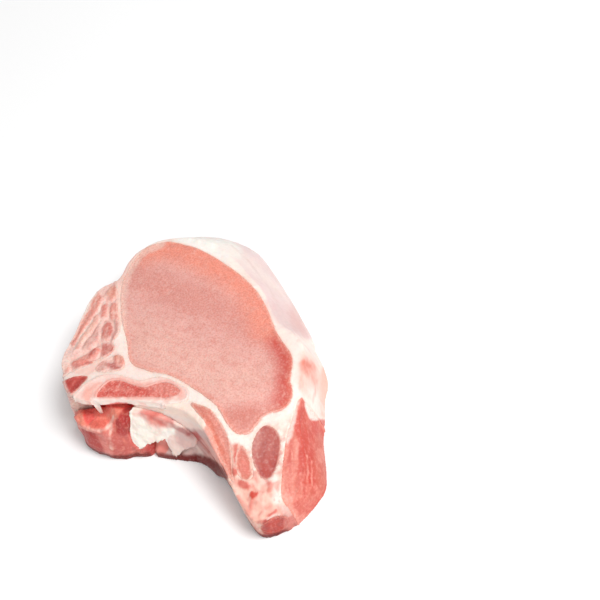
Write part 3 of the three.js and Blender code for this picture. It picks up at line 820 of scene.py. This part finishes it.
FAT_SIDE_PATCHES = [
    (OVAL_DEEP, 0.95, 1.6, [
        (262, 521), (268, 519), (277, 517), (285, 519), (286, 530), (277, 536), (264, 538)]),
    # painted shade on the walls of the recess under the rib
    (RECESS_SHADE, 0.95, 2, [(80, 402), (134, 401), (135, 410), (80, 411)]),
    (RED, 0.9, 3, [(309, 420), (322, 418), (328, 424), (329, 446), (319, 442), (312, 430)]),
    (SIDE_CREAM, 1, 2, [
        (140, 404), (170, 402), (190, 402), (202, 409), (210, 424), (207, 432), (197, 424), (186, 418),
        (170, 414), (150, 408)]),
    (LEAN_DULL, 0.85, 3, [(283, 518), (297, 514), (308, 514), (304, 524), (292, 532), (282, 533)]),
    (RED_PINK, 0.8, 2, [
        (204, 424), (209, 428), (221, 448), (227, 464), (231, 480), (223, 478), (211, 450), (205, 436)]),
    (FOLD_PINK, 0.8, 4, [(172, 419), (185, 420), (197, 425), (204, 432), (190, 432), (176, 427)]),
    (MEMBRANE, 0.95, 3, [
        (165, 432), (176, 425), (190, 429), (204, 430), (209, 439), (213, 449), (216, 460), (221, 471),
        (195, 468), (165, 464)]),
    (RED_PINK, 0.5, 5, [(199, 438), (206, 440), (214, 450), (221, 466), (210, 462), (202, 446)]),
    (LUMP_DARK, 0.8, 3, [(189, 432), (198, 432), (202, 440), (196, 441), (190, 438)]),
    (LEAN_CORAL, 0.9, 2, [(146, 440), (168, 436), (170, 454), (148, 456)]),
    # painted shade in the gap between the lump's foot and the fat
    (LUMP_DARK, 0.8, 3, [(136, 440), (156, 440), (155, 457), (136, 455)]),
    # painted contact shade with wet meat along the bay's foot
    (WET_CONTACT_SHADE, 0.9, 3, [
        (178, 455), (194, 454), (206, 456), (215, 460), (224, 468), (230, 480), (222, 480), (212, 471),
        (198, 464), (178, 462)]),
]
FAT_SIDE_LINES = [
    (LUMP_DARK, 0.5, 1.4, [(196, 433), (203, 440), (210, 450)]),
    (MEMBRANE_DARK, 0.95, 1.4, [(170, 422), (180, 428), (192, 436), (204, 446), (213, 457)]),
    (MEMBRANE_DARK, 0.5, 0.7, [(176, 428), (186, 435), (197, 443), (208, 453)]),
    (MEMBRANE_DARK, 0.45, 0.6, [(190, 441), (200, 448), (211, 460)]),
    (SIDE_CREAM, 0.7, 0.7, [(178, 433), (188, 441), (198, 449), (206, 457)]),
    (MEMBRANE_DARK, 0.5, 0.7, [(206, 438), (213, 449), (219, 462)]),
    (SIDE_GREY, 0.5, 0.6, [(186, 452), (192, 448), (198, 452)]),
]
BAY_FOOT = [
    (156, 438), (180, 443), (196, 447), (210, 455), (222, 464), (226, 478), (212, 472), (196, 466),
    (178, 462), (156, 460),
]
MEMBRANE_FOLDS = [
    [(170, 423), (180, 430), (192, 437), (204, 447), (213, 457)],
    [(178, 438), (188, 446), (198, 454)],
]
# painted shade on the bone's underside above the recess
BONE_RECESS = [(RECESS_SHADE, 0.9, 1.6, [(108, 403), (131, 402), (131, 409), (108, 408)])]
BONE_PATCHES = [
    (BONE_PINK, 0.7, 1.4, [(82, 390), (90, 386), (94, 394), (93, 402), (85, 402)]),
    (BONE_CREAM, 0.7, 1.6, [(92, 397), (140, 399), (180, 399), (180, 405), (90, 404)]),
    (BONE_PINK, 0.5, 1.6, [
        (100, 381), (120, 377), (140, 380), (165, 384), (185, 388), (190, 396), (170, 400), (97, 399),
        (92, 393)]),
]
SHRED_ROOT = [(95, 403), (96, 403)]
SHRED_LENGTH = 6.5
BONE_ARC = [(BONE_PINK, 0.7, 0.8, 1.2, [(88, 402), (86, 396), (90, 389), (98, 383)])]
MARROW_PATCHES = [(MARROW_PALE, 0.7, 6, [(152, 380), (190, 380), (194, 398), (150, 398)])]
MARROW_LINES = [
    (MARROW_DEEP, 0.6, 1, [(106, 392), (116, 394), (130, 395), (150, 396)]),
    (MARROW_DEEP, 0.7, 1.2, [(118, 384), (130, 386), (142, 389), (156, 388), (168, 388)]),
    (MARROW_PALE, 0.5, 0.9, [(104, 388), (120, 389), (134, 391)]),
]

# Places on the chop, in mm, between which a shade fades in: across from the eye to the bone, along the tail,
# and down to the floor. A strength is that of the shade.
BONE_FAT_ENDS = (-8, -20)
BONE_FAT_STRENGTH = 0.6
TAIL_BLOT_ENDS = (-42, -56)
# where the tail's low sides turn darker rose, partly their own colour and partly painted shade
TAIL_SIDE_ENDS = (-40, -60)
TAIL_SIDE_STRENGTH = 0.85
LOW_SIDE_ENDS = (9, 2)

# Relief, in mm. A swell is a height, the width of its blobs and a seed.
SEAM_FILL = 0.33
EYE_SWELLS = [(0.25, 14, 1), (0.12, 5, 2), (0.05, 1.6, 3)]
EYE_STREAK_DIP = 0.25
MARBLED_SWELLS = [(0.18, 3.5, 7), (0.1, 1.4, 8)]
BUNDLE_RISE = 0.45
BUNDLE_SOFT = 1.6
MARBLING_DIP = 0.22
MUSCLE_SWELLS = [(0.2, 7, 11), (0.1, 2, 12)]
LUMP_SWELLS = [(0.3, 5, 23), (0.14, 2, 24)]
LUMP_LIP_RISE = 0.7
LUMP_PIT_DEPTH = 0.75
LUMP_LIT_RISE = 0.5
LUMP_FEET_RISE = 0.9
LUMP_RIGHT_FOOT_RISE = 1.3
BONE_SWELLS = [(0.12, 4, 26), (0.06, 1.2, 27)]
MARROW_PORES = [(0.16, 1.1, 30), (0.1, 2.5, 31)]
MARROW_DEPTH = 0.1
CARTILAGE_SWELLS = [(0.35, 2.2, 34), (0.12, 0.9, 35)]
CARTILAGE_TEAR = [(0.9, 1.5, 70)]
CARTILAGE_GROWTH = 0.15
FAT_SWELLS = [(0.28, 9, 37), (0.14, 3.5, 38)]
FAT_GRAIN = [(0.06, 1.6, 39)]
TAIL_BIT_RISE = 0.35
MEMBRANE_FOLD_DEPTH = 0.5
BAY_FOOT_RISE = 2

# Colours that noise spreads. Blots are a shade, their strength, their width in mm, a seed, and the values of
# the noise where they start and are whole. Fibres have a heading in degrees, a width and a length for the
# blots' width, and the flank's fibres are the sum of a coarse grain and a fine one.
EYE_PALE_DRIFT = [(0.1, 11, 4)]
EYE_BLOTS = [(EYE_STREAK, 0.3, 2.4, 5, 0.1, 0.7), (EYE_PALE, 0.3, 1.2, 6, 0.2, 0.8)]
EYE_FIBRES = [(EYE_STREAK, 0.3, 120, 1, 3.5, 60, 0.1, 0.7)]
MARBLED_FIBRES = [(LEAN_DULL, 0.35, 60, 0.9, 4, 9, 0.1, 0.7), (PALE_FASCIA, 0.4, 60, 0.9, 4, 9, -0.2, -0.8)]
MARBLED_BLOTS = [(LEAN_GREY, 0.3, 2.6, 10, 0.1, 0.6)]
END_BLOTS = [(BLOOD, 0.4, 2, 13, 0, 0.6), (LEAN_CORAL, 0.4, 2.2, 14, 0.2, 0.7)]
OVAL_BLOTS = [(OVAL_DARK, 0.4, 1.8, 15, 0.1, 0.7), (LEAN_GREY, 0.2, 1.4, 16, 0.2, 0.8)]
FLANK_COARSE = (68, 1.1, 9, 17)
FLANK_FINE = (70, 0.6, 5, 72)
FLANK_FIBRES = [
    (RED_PALE, [(0.4, FLANK_COARSE, 0, 0.7), (0.25, FLANK_FINE, 0.1, 0.7)]),
    (RED_DEEP, [(0.45, FLANK_COARSE, -0.1, -0.8), (0.3, FLANK_FINE, -0.1, -0.7)]),
]
FLANK_BLOTS = [(RED_PINK, 0.18, 2.4, 61, 0.2, 0.7)]
STRIP_FIBRES = [(LEAN_DULL, 0.3, 118, 1, 6, 18, 0.1, 0.7)]
STRIP_BLOTS = [(RED_PINK, 0.25, 1.8, 62, 0.2, 0.8)]
INNER_FIBRES = [(LEAN_DULL, 0.45, 118, 1, 6, 63, 0, 0.7)]
TIP_BLOTS = [(RED, 0.45, 3, 19, -0.1, 0.5), (OVAL_DARK, 0.5, 2, 64, 0.1, 0.6)]
LUMP_GROUND_BLOTS = [(LUMP_SIDE, 0.5, 4, 69, -0.2, 0.6)]
LUMP_BLOTS = [(LUMP_DARK, 0.25, 2.5, 25, 0.1, 0.7), (LUMP_PALE, 0.3, 1.6, 65, 0.2, 0.8)]
BONE_BLOTS = [(FAT_BONE, 0.5, 2.2, 28, 0, 0.6), (BONE_PINK, 0.4, 2.8, 29, 0.1, 0.7)]
MARROW_BLOTS = [(MARROW_PALE, 0.55, 1.5, 32, 0, 0.6), (MARROW_DEEP, 0.5, 1.7, 33, 0.1, 0.6)]
MARROW_HALO = 0.55  # strength of the marrow's colour on the bone beside it
CARTILAGE_BLOTS = [(FAT_PINK, 0.35, 4, 36, 0.1, 0.7)]
FAT_BLOTS = [(FAT_PINK, 0.25, 8, 40, 0, 0.7)]
TAIL_BLOTS = [
    (TAIL_PINK, 0.5, 3, 41, 0, 0.6),
    (LEAN_ROSE, 0.6, 1.8, 67, 0.1, 0.6),
    (LEAN_DULL, 0.4, 1.1, 71, 0.25, 0.7),
    (TAIL_PALE, 0.5, 1.4, 68, 0.1, 0.7),
]


def eye_relief(skin):
    """Soft swells, and a shallow dip along the streak across the eye."""
    dip = EYE_STREAK_DIP * skin.line(EYE_STREAK_LINE, width=3, soft=5)
    skin.move(on_top(skin, skin.swells(EYE_SWELLS) - dip + seam_fill(skin)))


def eye_colours(skin):
    """The large pale muscle, with an orange rim and a red lower edge."""
    skin.colour(EYE_PINK)
    pale = EYE_PALE_STRENGTH * skin.patch(EYE_PALE_PATCH, EYE_PALE_SOFT)
    skin.tint(EYE_PALE, pale + skin.swells(EYE_PALE_DRIFT))
    skin.band(EYE_BANDS)
    skin.paint(EYE_PATCHES)
    skin.fade(EYE_ORANGE, skin.seam, strength=0.4, start=2.6, whole=0.6)
    skin.mottle(EYE_BLOTS)
    skin.comb(EYE_FIBRES)
    skin.band(EYE_SOFT_EDGE)
    skin.border(PALE_FASCIA, strength=0.35, width=0.8)


def marbled_relief(skin, patches, lines):
    """Each bundle of lean stands up a little, with the marbling sunk between."""
    rise = sum(skin.patch(outline, BUNDLE_SOFT) for _, _, _, outline in patches) * BUNDLE_RISE
    dip = sum(skin.side_line(corners, width=0.6, soft=1) for _, _, _, corners in lines) * MARBLING_DIP
    skin.move(on_top(skin, rise - dip + skin.swells(MARBLED_SWELLS) + seam_fill(skin)))


def marbled_colours(skin, patches, dark, lines):
    """Bundles of lean in pale fat, with thin lines of it between them and a painted highlight along the left
    rim.
    """
    skin.colour(LEAN_GROUND)
    skin.paint(patches)
    skin.comb(MARBLED_FIBRES)
    skin.paint(dark)
    skin.draw(lines)
    skin.mottle(MARBLED_BLOTS)
    # painted highlight along the lit left rim
    skin.paint_side(MARBLED_RIM_HIGHLIGHT)
    skin.border(PALE_FASCIA, strength=0.6, width=0.9)
    skin.wet_shaded_foot(LEAN_FOOT)


def spine_relief(skin):
    marbled_relief(skin, MARBLED_PATCHES, MARBLING_LINES)


def spine_colours(skin):
    marbled_colours(skin, MARBLED_PATCHES, MARBLED_DARK, MARBLING_LINES)


def upper_rib_relief(skin):
    marbled_relief(skin, UPPER_RIB_PATCHES, [])


def upper_rib_colours(skin):
    marbled_colours(skin, UPPER_RIB_PATCHES, [], [])


def muscle_relief(skin):
    """The low relief of a muscle without marbling."""
    skin.move(on_top(skin, skin.swells(MUSCLE_SWELLS) + seam_fill(skin)))


def end_colours(skin):
    """The dark red triangle at the bone end, with painted shade that greys its sides."""
    skin.colour(DARK_RED)
    skin.paint(END_PATCHES)
    skin.mottle(END_BLOTS)
    # painted shade: the sides greyish
    skin.fade(SIDE_GREY, skin.normals[:, 2], strength=0.8, start=0.6, whole=0.2)
    skin.paint_side(LEFT_SIDE)
    skin.border(FASCIA, strength=0.4, width=0.7)
    skin.wet_shaded_foot(LEAN_FOOT)


def oval_colours(skin):
    """The dark oval muscle in the tail."""
    skin.colour(OVAL_RED)
    skin.paint(OVAL_PATCHES)
    skin.mottle(OVAL_BLOTS)
    skin.draw(OVAL_LINES)
    skin.border(FASCIA, strength=0.45, width=0.8)


def flank_colours(skin):
    """The red streaked muscle along the tail's outer edge."""
    skin.colour(RED)
    skin.paint_side(FLANK_PATCHES)
    for shade, layers in FLANK_FIBRES:
        skin.tint(shade, sum(strength * ramp(fibres(skin.points, *grain), start, whole)
                             for strength, grain, start, whole in layers))
    skin.draw(FLANK_LINES)
    skin.mottle(FLANK_BLOTS)
    skin.border(RED_PINK, strength=0.6, width=2)
    skin.paint_side(FLANK_FOOT)


def strip_colours(skin):
    """The narrow muscle from the rib down the tail's inner edge."""
    skin.colour(STRIP_PINK)
    skin.paint(STRIP_PATCHES)
    skin.draw(STRIP_LINES)
    skin.border(FASCIA, strength=0.6, width=1.1)
    skin.comb(STRIP_FIBRES)
    skin.mottle(STRIP_BLOTS)


def inner_colours(skin):
    """The small muscle between the narrow one and the oval one."""
    skin.colour(STRIP_PINK)
    skin.paint(INNER_PATCHES)
    skin.comb(INNER_FIBRES)
    skin.border(FASCIA, strength=0.85, width=1.3)


def tip_colours(skin):
    """The dark red end in the tail's tip."""
    skin.colour(OVAL_DEEP)
    skin.mottle(TIP_BLOTS)
    skin.paint_side(TIP_PATCHES)
    skin.border(TAIL_PINK, strength=0.3, width=0.8)


def lump_relief(skin):
    """The lip and the pit of the meat below the rib, and the bulges where it rests on the floor."""
    lip = LUMP_LIP_RISE * skin.side_line(LUMP_LIP, width=1, soft=1.4)
    pit = LUMP_PIT_DEPTH * skin.side_patch(LUMP_PIT_EDGE, soft=4, reach=14)
    lit = LUMP_LIT_RISE * skin.side_patch(LUMP_LIT_EDGE, soft=5, reach=14)
    feet = sum(skin.side_patch(outline, soft=10, reach=10) for outline in LUMP_FEET) * LUMP_FEET_RISE
    right_foot = LUMP_RIGHT_FOOT_RISE * skin.side_patch(LUMP_RIGHT_FOOT, soft=14, reach=16)
    skin.move(outwards(skin, lip - pit + lit + feet + right_foot + skin.swells(LUMP_SWELLS)))


def lump_colours(skin):
    """Red meat, painted paler where its bulges are lit, and dark under the rib: dark red meat with painted
    shade in the recess. Its lower left front has painted shade.
    """
    skin.colour(LUMP_FRONT)
    skin.mottle(LUMP_GROUND_BLOTS)
    skin.paint_side(LUMP_PATCHES)
    skin.mottle(LUMP_BLOTS)
    skin.draw(LUMP_LINES)
    skin.wet_shaded_foot(LUMP_FOOT)


def bone_relief(skin):
    """Low relief, and the bone's share of the hanging shred."""
    skin.move(on_top(skin, skin.swells(BONE_SWELLS) + seam_fill(skin)))
    skin.move(hanging_shred(skin))


def hanging_shred(skin):
    """A shred of the bone's skin that hangs over the meat below it."""
    steps = np.zeros_like(skin.points)
    steps[:, 2] = -SHRED_LENGTH * skin.side_line(SHRED_ROOT, width=1.6, soft=0.8)
    return steps


def bone_colours(skin):
    """Sawn bone, pinker at its end and round the marrow, with painted shade on its underside above the
    recess.
    """
    skin.colour(BONE_RIM)
    skin.paint(BONE_PATCHES)
    skin.fade(BONE_CREAM, skin.normals[:, 2], strength=0.8, start=0.8, whole=0.4)
    skin.band(BONE_ARC)
    skin.mottle(BONE_BLOTS)
    skin.tint(MARROW_PALE, MARROW_HALO * near_marrow(skin))
    # painted shade on the underside above the recess
    skin.paint_side(BONE_RECESS)


def near_marrow(skin):
    """1 beside the marrow, fading out unevenly."""
    marrow_tree = tree_of(["rib_marrow"])
    gap = np.array([marrow_tree.find_nearest(Vector(p))[3] for p in skin.points * MM]) / MM
    return ramp(gap + 0.5 * skin.noise(1.6, seed=66), start=1.5, end=0.3)


def marrow_relief(skin):
    """The marrow's pores, a little below the bone."""
    skin.move(on_top(skin, skin.swells(MARROW_PORES) - MARROW_DEPTH))


def marrow_colours(skin):
    """Red marrow with deep streaks, paler at its far end."""
    skin.colour(MARROW_RED)
    skin.draw(MARROW_LINES)
    skin.mottle(MARROW_BLOTS)
    skin.paint(MARROW_PATCHES)
    skin.border(MARROW_PALE, strength=0.7, width=1.2)


def cartilage_relief(skin):
    """Ragged all over, and torn where the camera sees it edge on."""
    torn = skin.swells(CARTILAGE_TEAR) * ramp(np.abs(skin.towards_camera), start=0.5, end=0.1)
    free = ramp(skin.seam, start=0.2, end=1.6)
    skin.move(outwards(skin, (skin.swells(CARTILAGE_SWELLS) + torn) * free + CARTILAGE_GROWTH))


def cartilage_colours(skin):
    """White sheet, with a red tear and a greyish membrane at its foot."""
    skin.colour(CARTILAGE_WHITE)
    skin.paint_side(CARTILAGE_PATCHES)
    skin.draw(CARTILAGE_LINES)
    skin.mottle(CARTILAGE_BLOTS)


def fat_relief(skin):
    """Soft swells, low muscle bits in the tail, and the folded membrane with its bulge on the floor."""
    soft = skin.swells(FAT_SWELLS)
    bits = sum(skin.patch(outline, soft=1.2) for _, _, _, outline in TAIL_BITS) * TAIL_BIT_RISE
    folds = sum(skin.side_line(corners, width=0.8, soft=1.2) for corners in MEMBRANE_FOLDS)
    low = ramp(skin.points[:, 2], start=5, end=2)
    foot = BAY_FOOT_RISE * skin.side_patch(BAY_FOOT, soft=8, reach=40) * low
    sides = ramp(skin.normals[:, 2], start=0.8, end=0.4) * ramp(skin.seam, start=0.5, end=2.5)
    top = on_top(skin, soft + skin.swells(FAT_GRAIN) + bits + seam_fill(skin))
    skin.move(top + outwards(skin, (soft - folds * MEMBRANE_FOLD_DEPTH + foot) * sides))
    skin.move(hanging_shred(skin))


def fat_colours(skin):
    """Outer fat with painted highlights on its top and facet, then the tail's fat with its bits of muscle,
    then the sides, with painted shade in the recess, at the lump's foot and on the tail's low sides.
    """
    skin.colour(FAT_WHITE)
    side = ramp(skin.normals[:, 2], start=0.93, end=0.75)
    skin.mottle(FAT_BLOTS)
    facet = ramp(inside(skin.pixels, rounded(BLUISH_FACET, closed=True)), start=-2, end=2)
    skin.tint(FAT_BLUISH, BLUISH_STRENGTH * facet * side)
    skin.paint_side(FACET_SHADES_AND_HIGHLIGHTS)
    skin.fade(FAT_BONE, skin.plan[:, 0], BONE_FAT_STRENGTH, *BONE_FAT_ENDS)
    skin.paint(FAT_PATCHES)
    skin.draw(FAT_LINES)
    skin.border(FASCIA, strength=0.6, width=1.2)
    skin.paint(TAIL_GROUND)
    skin.mottle(TAIL_BLOTS, ramp(skin.plan[:, 1], *TAIL_BLOT_ENDS))
    skin.paint(TAIL_MUSCLES)
    skin.paint(TAIL_BITS)
    skin.draw(TAIL_LINES)
    # the tail's low sides darker rose: partly their own colour and partly painted shade
    low = ramp(skin.points[:, 2], *LOW_SIDE_ENDS)
    skin.tint(SIDE_ROSE, TAIL_SIDE_STRENGTH * low * side * ramp(skin.plan[:, 1], *TAIL_SIDE_ENDS))
    skin.paint_side(FAT_SIDE_PATCHES)
    skin.paint_side(LEFT_SIDE)
    skin.draw(FAT_SIDE_LINES)
    skin.wet_shaded_foot(FAT_FOOT)


# The tissues' shading, with lengths in metres
COLOUR = "NodeSocketColor"
NUMBER = "NodeSocketFloat"
WHITE = (1, 1, 1, 1)
SPECK_RANGES = (("Light", 0.48, 0.72), ("Dark", 0.52, 0.28))  # noise where each kind starts and is whole
FILM_RANGE = (0.4, 0.6)
NOISE_DETAIL = 4
BUMP_DISTANCE = 0.0004
GLOW_AND_SHINE = {
    "Subsurface Radius": (1, 0.4, 0.3),
    "Subsurface Scale": 0.0015,
    "Specular IOR Level": 0.2,
    "Coat Roughness": 0.35,
}


def set_inputs(node, values):
    """Gives a node's inputs their values, by name."""
    for name, value in values.items():
        node.inputs[name].default_value = value


def add_node(tree, kind, values=None):
    """Adds a node, with values for some of its inputs."""
    node = tree.nodes.new(kind)
    set_inputs(node, values or {})
    return node


def add_noise(tree, values=None):
    """Adds fine noise in a piece's own space."""
    place = add_node(tree, "ShaderNodeTexCoord")
    noise = add_node(tree, "ShaderNodeTexNoise", {"Detail": NOISE_DETAIL, **(values or {})})
    tree.links.new(place.outputs["Object"], noise.inputs["Vector"])
    return noise


def add_group(tree, group, values):
    """Adds a node that uses a node group."""
    node = tree.nodes.new("ShaderNodeGroup")
    node.node_tree = group
    set_inputs(node, values)
    return node


def new_group(name, inputs, result, result_kind):
    """A node group, from its inputs' kinds and usual values and its result's name and kind."""
    group = bpy.data.node_groups.new(name, "ShaderNodeTree")
    for label, (kind, value) in inputs.items():
        made = group.interface.new_socket(name=label, in_out="INPUT", socket_type=kind)
        made.default_value = value
    group.interface.new_socket(name=result, in_out="OUTPUT", socket_type=result_kind)
    return group


def speckle_group():
    """Fine light and dark specks over a colour, for meat whose fibres are cut across."""
    group = new_group("meat specks", {
        "Colour": (COLOUR, WHITE),
        "Light speck": (COLOUR, (0.95, 0.7, 0.6, 1)),
        "Dark speck": (COLOUR, (0.5, 0.15, 0.1, 1)),
        "Scale": (NUMBER, 900),
        "Light amount": (NUMBER, 0.3),
        "Dark amount": (NUMBER, 0.3),
    }, "Colour", COLOUR)
    link = group.links.new
    given = add_node(group, "NodeGroupInput")
    noise = add_noise(group)
    link(given.outputs["Scale"], noise.inputs["Scale"])
    last = given.outputs["Colour"]
    for name, start, whole in SPECK_RANGES:
        pick = add_node(group, "ShaderNodeMapRange", {"From Min": start, "From Max": whole})
        link(noise.outputs["Fac"], pick.inputs["Value"])
        share = add_node(group, "ShaderNodeMath")
        share.operation = "MULTIPLY"
        link(pick.outputs["Result"], share.inputs[0])
        link(given.outputs[name + " amount"], share.inputs[1])
        mix = add_node(group, "ShaderNodeMix")
        mix.data_type = "RGBA"
        link(share.outputs["Value"], mix.inputs["Factor"])
        link(last, mix.inputs["A"])
        link(given.outputs[name + " speck"], mix.inputs["B"])
        last = mix.outputs["Result"]
    link(last, add_node(group, "NodeGroupOutput").inputs["Colour"])
    return group


def moisture_group():
    """Roughness that changes where the skin is wetter or drier."""
    inputs = {"Wet": (NUMBER, 0.3), "Dry": (NUMBER, 0.6), "Scale": (NUMBER, 120)}
    group = new_group("moist film", inputs, "Roughness", NUMBER)
    link = group.links.new
    given = add_node(group, "NodeGroupInput")
    noise = add_noise(group)
    link(given.outputs["Scale"], noise.inputs["Scale"])
    pick = add_node(group, "ShaderNodeMapRange", {"From Min": FILM_RANGE[0], "From Max": FILM_RANGE[1]})
    link(noise.outputs["Fac"], pick.inputs["Value"])
    link(given.outputs["Wet"], pick.inputs["To Min"])
    link(given.outputs["Dry"], pick.inputs["To Max"])
    link(pick.outputs["Result"], add_node(group, "NodeGroupOutput").inputs["Roughness"])
    return group


SPECKS = speckle_group()
FILM = moisture_group()


def tissue_material(name, light, dark, speck_scale, wet, dry, bump, bump_scale, glow, coat):
    """A tissue whose colours come from the mesh, with specks, a moist film and a fine grain."""
    material = bpy.data.materials.new(name)
    material.use_nodes = True
    tree = material.node_tree
    link = tree.links.new
    shader = tree.nodes["Principled BSDF"]
    tone = add_node(tree, "ShaderNodeAttribute")
    tone.attribute_name = "tone"
    specks = add_group(tree, SPECKS, {"Light amount": light, "Dark amount": dark, "Scale": speck_scale})
    film = add_group(tree, FILM, {"Wet": wet, "Dry": dry})
    grain = add_noise(tree, {"Scale": bump_scale})
    height = add_node(tree, "ShaderNodeBump", {"Strength": bump, "Distance": BUMP_DISTANCE})
    set_inputs(shader, {"Subsurface Weight": glow, "Coat Weight": coat, **GLOW_AND_SHINE})
    link(tone.outputs["Color"], specks.inputs["Colour"])
    link(specks.outputs["Colour"], shader.inputs["Base Color"])
    link(film.outputs["Roughness"], shader.inputs["Roughness"])
    link(grain.outputs["Fac"], height.inputs["Height"])
    link(height.outputs["Normal"], shader.inputs["Normal"])
    return material


# Each slot's material
MATERIALS = {
    "pale_lean": tissue_material(
        "pale lean", light=0.2, dark=0.42, speck_scale=1500, wet=0.42, dry=0.6,
        bump=0.5, bump_scale=1300, glow=0.25, coat=0.02),
    "marbled_lean": tissue_material(
        "marbled lean", light=0.25, dark=0.32, speck_scale=1100, wet=0.42, dry=0.6,
        bump=0.6, bump_scale=900, glow=0.25, coat=0.02),
    "red_lean": tissue_material(
        "red lean", light=0.15, dark=0.35, speck_scale=1000, wet=0.38, dry=0.55,
        bump=0.5, bump_scale=800, glow=0.25, coat=0.04),
    "fat": tissue_material(
        "soft fat", light=0.1, dark=0.1, speck_scale=700, wet=0.4, dry=0.55,
        bump=0.25, bump_scale=600, glow=0.3, coat=0.04),
    "bone": tissue_material(
        "sawn bone", light=0.2, dark=0.06, speck_scale=1200, wet=0.5, dry=0.65,
        bump=0.4, bump_scale=1500, glow=0.2, coat=0),
    "marrow": tissue_material(
        "marrow", light=0.3, dark=0.5, speck_scale=1200, wet=0.4, dry=0.6,
        bump=0.6, bump_scale=1200, glow=0.25, coat=0.02),
    "cartilage": tissue_material(
        "torn cartilage", light=0.1, dark=0.03, speck_scale=700, wet=0.35, dry=0.5,
        bump=0.3, bump_scale=700, glow=0.3, coat=0.1),
}


def add_tissue(name, node, cell, slot, relief, colours):
    """Makes one tissue's piece over its node, from a close mesh with cells of that size in mm."""
    piece = close_copy(name, node, cell)
    skin = Skin(piece, node)
    skin.fill_gap()
    relief(skin)
    skin.measure()
    colours(skin)
    skin.store()
    piece.data.materials.append(MATERIALS[slot])
    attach(piece, "root")
    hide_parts(node)


add_tissue("loin_eye_meat", "loin_eye", EYE_CELL, "pale_lean", eye_relief, eye_colours)
add_tissue("spine_muscle_meat", "spine_muscle", MARBLED_CELL, "marbled_lean", spine_relief, spine_colours)
add_tissue("upper_rib_meat", "upper_rib_muscle", MARBLED_CELL, "marbled_lean",
           upper_rib_relief, upper_rib_colours)
add_tissue("end_muscle_meat", "end_muscle", MUSCLE_CELL, "red_lean", muscle_relief, end_colours)
add_tissue("rib_muscle_meat", "rib_muscle", MUSCLE_CELL, "pale_lean", muscle_relief, strip_colours)
add_tissue("inner_muscle_meat", "inner_muscle", MUSCLE_CELL, "pale_lean", muscle_relief, inner_colours)
add_tissue("oval_muscle_meat", "oval_muscle", MUSCLE_CELL, "red_lean", muscle_relief, oval_colours)
add_tissue("flank_muscle_meat", "flank_muscle", MUSCLE_CELL, "red_lean", muscle_relief, flank_colours)
add_tissue("tip_muscle_meat", "tip_muscle", MUSCLE_CELL, "red_lean", muscle_relief, tip_colours)
add_tissue("chine_lump", "chine_meat", MUSCLE_CELL, "red_lean", lump_relief, lump_colours)
add_tissue("rib_bone_cut", "rib_bone", BONE_CELL, "bone", bone_relief, bone_colours)
add_tissue("rib_marrow_cut", "rib_marrow", BONE_CELL, "marrow", marrow_relief, marrow_colours)
add_tissue("cartilage_sheet", "cartilage", BONE_CELL, "cartilage", cartilage_relief, cartilage_colours)
add_tissue("fat_and_rind", "fat", FAT_CELL, "fat", fat_relief, fat_colours)


# The studio, in metres and watts. A light is a name, its place, its side and its power.
FLOOR_SIDE = 4
FLOOR_SHADE = (0.97, 0.97, 0.97, 1)
FLOOR_ROUGHNESS = 0.9
ROOM_STRENGTH = 0.38
LIGHTS = (
    ("key light", (0.68, -0.68, 1.52), 0.8, 26.5),
    ("fill light", (-0.35, -1.1, 0.9), 1.0, 5),
)


def studio():
    """A pale floor, a white room and two soft lights that face the origin."""
    bpy.ops.mesh.primitive_plane_add(size=FLOOR_SIDE, location=(0, 0, 0))
    floor = bpy.context.active_object
    floor.name = "floor"
    paper = bpy.data.materials.new("pale floor")
    paper.use_nodes = True
    shader = paper.node_tree.nodes["Principled BSDF"]
    shader.inputs["Base Color"].default_value = FLOOR_SHADE
    shader.inputs["Roughness"].default_value = FLOOR_ROUGHNESS
    floor.data.materials.append(paper)
    room = bpy.data.worlds.new("white room")
    bpy.context.scene.world = room
    room.use_nodes = True
    background = room.node_tree.nodes["Background"]
    background.inputs["Color"].default_value = WHITE
    background.inputs["Strength"].default_value = ROOM_STRENGTH
    for name, place, size, power in LIGHTS:
        lamp = bpy.data.lights.new(name, "AREA")
        lamp.size = size
        lamp.energy = power
        holder = bpy.data.objects.new(name, lamp)
        bpy.context.scene.collection.objects.link(holder)
        holder.location = place
        holder.rotation_euler = (-Vector(place)).to_track_quat("-Z", "Y").to_euler()


def picture_camera():
    """The camera that sees the chop as the picture does."""
    data = bpy.data.cameras.new("picture camera")
    data.lens = LENS
    data.sensor_width = SENSOR
    camera = bpy.data.objects.new("picture camera", data)
    bpy.context.scene.collection.objects.link(camera)
    camera.matrix_world = CAMERA
    bpy.context.scene.camera = camera
    bpy.context.scene.view_settings.view_transform = "Standard"


studio()
picture_camera()
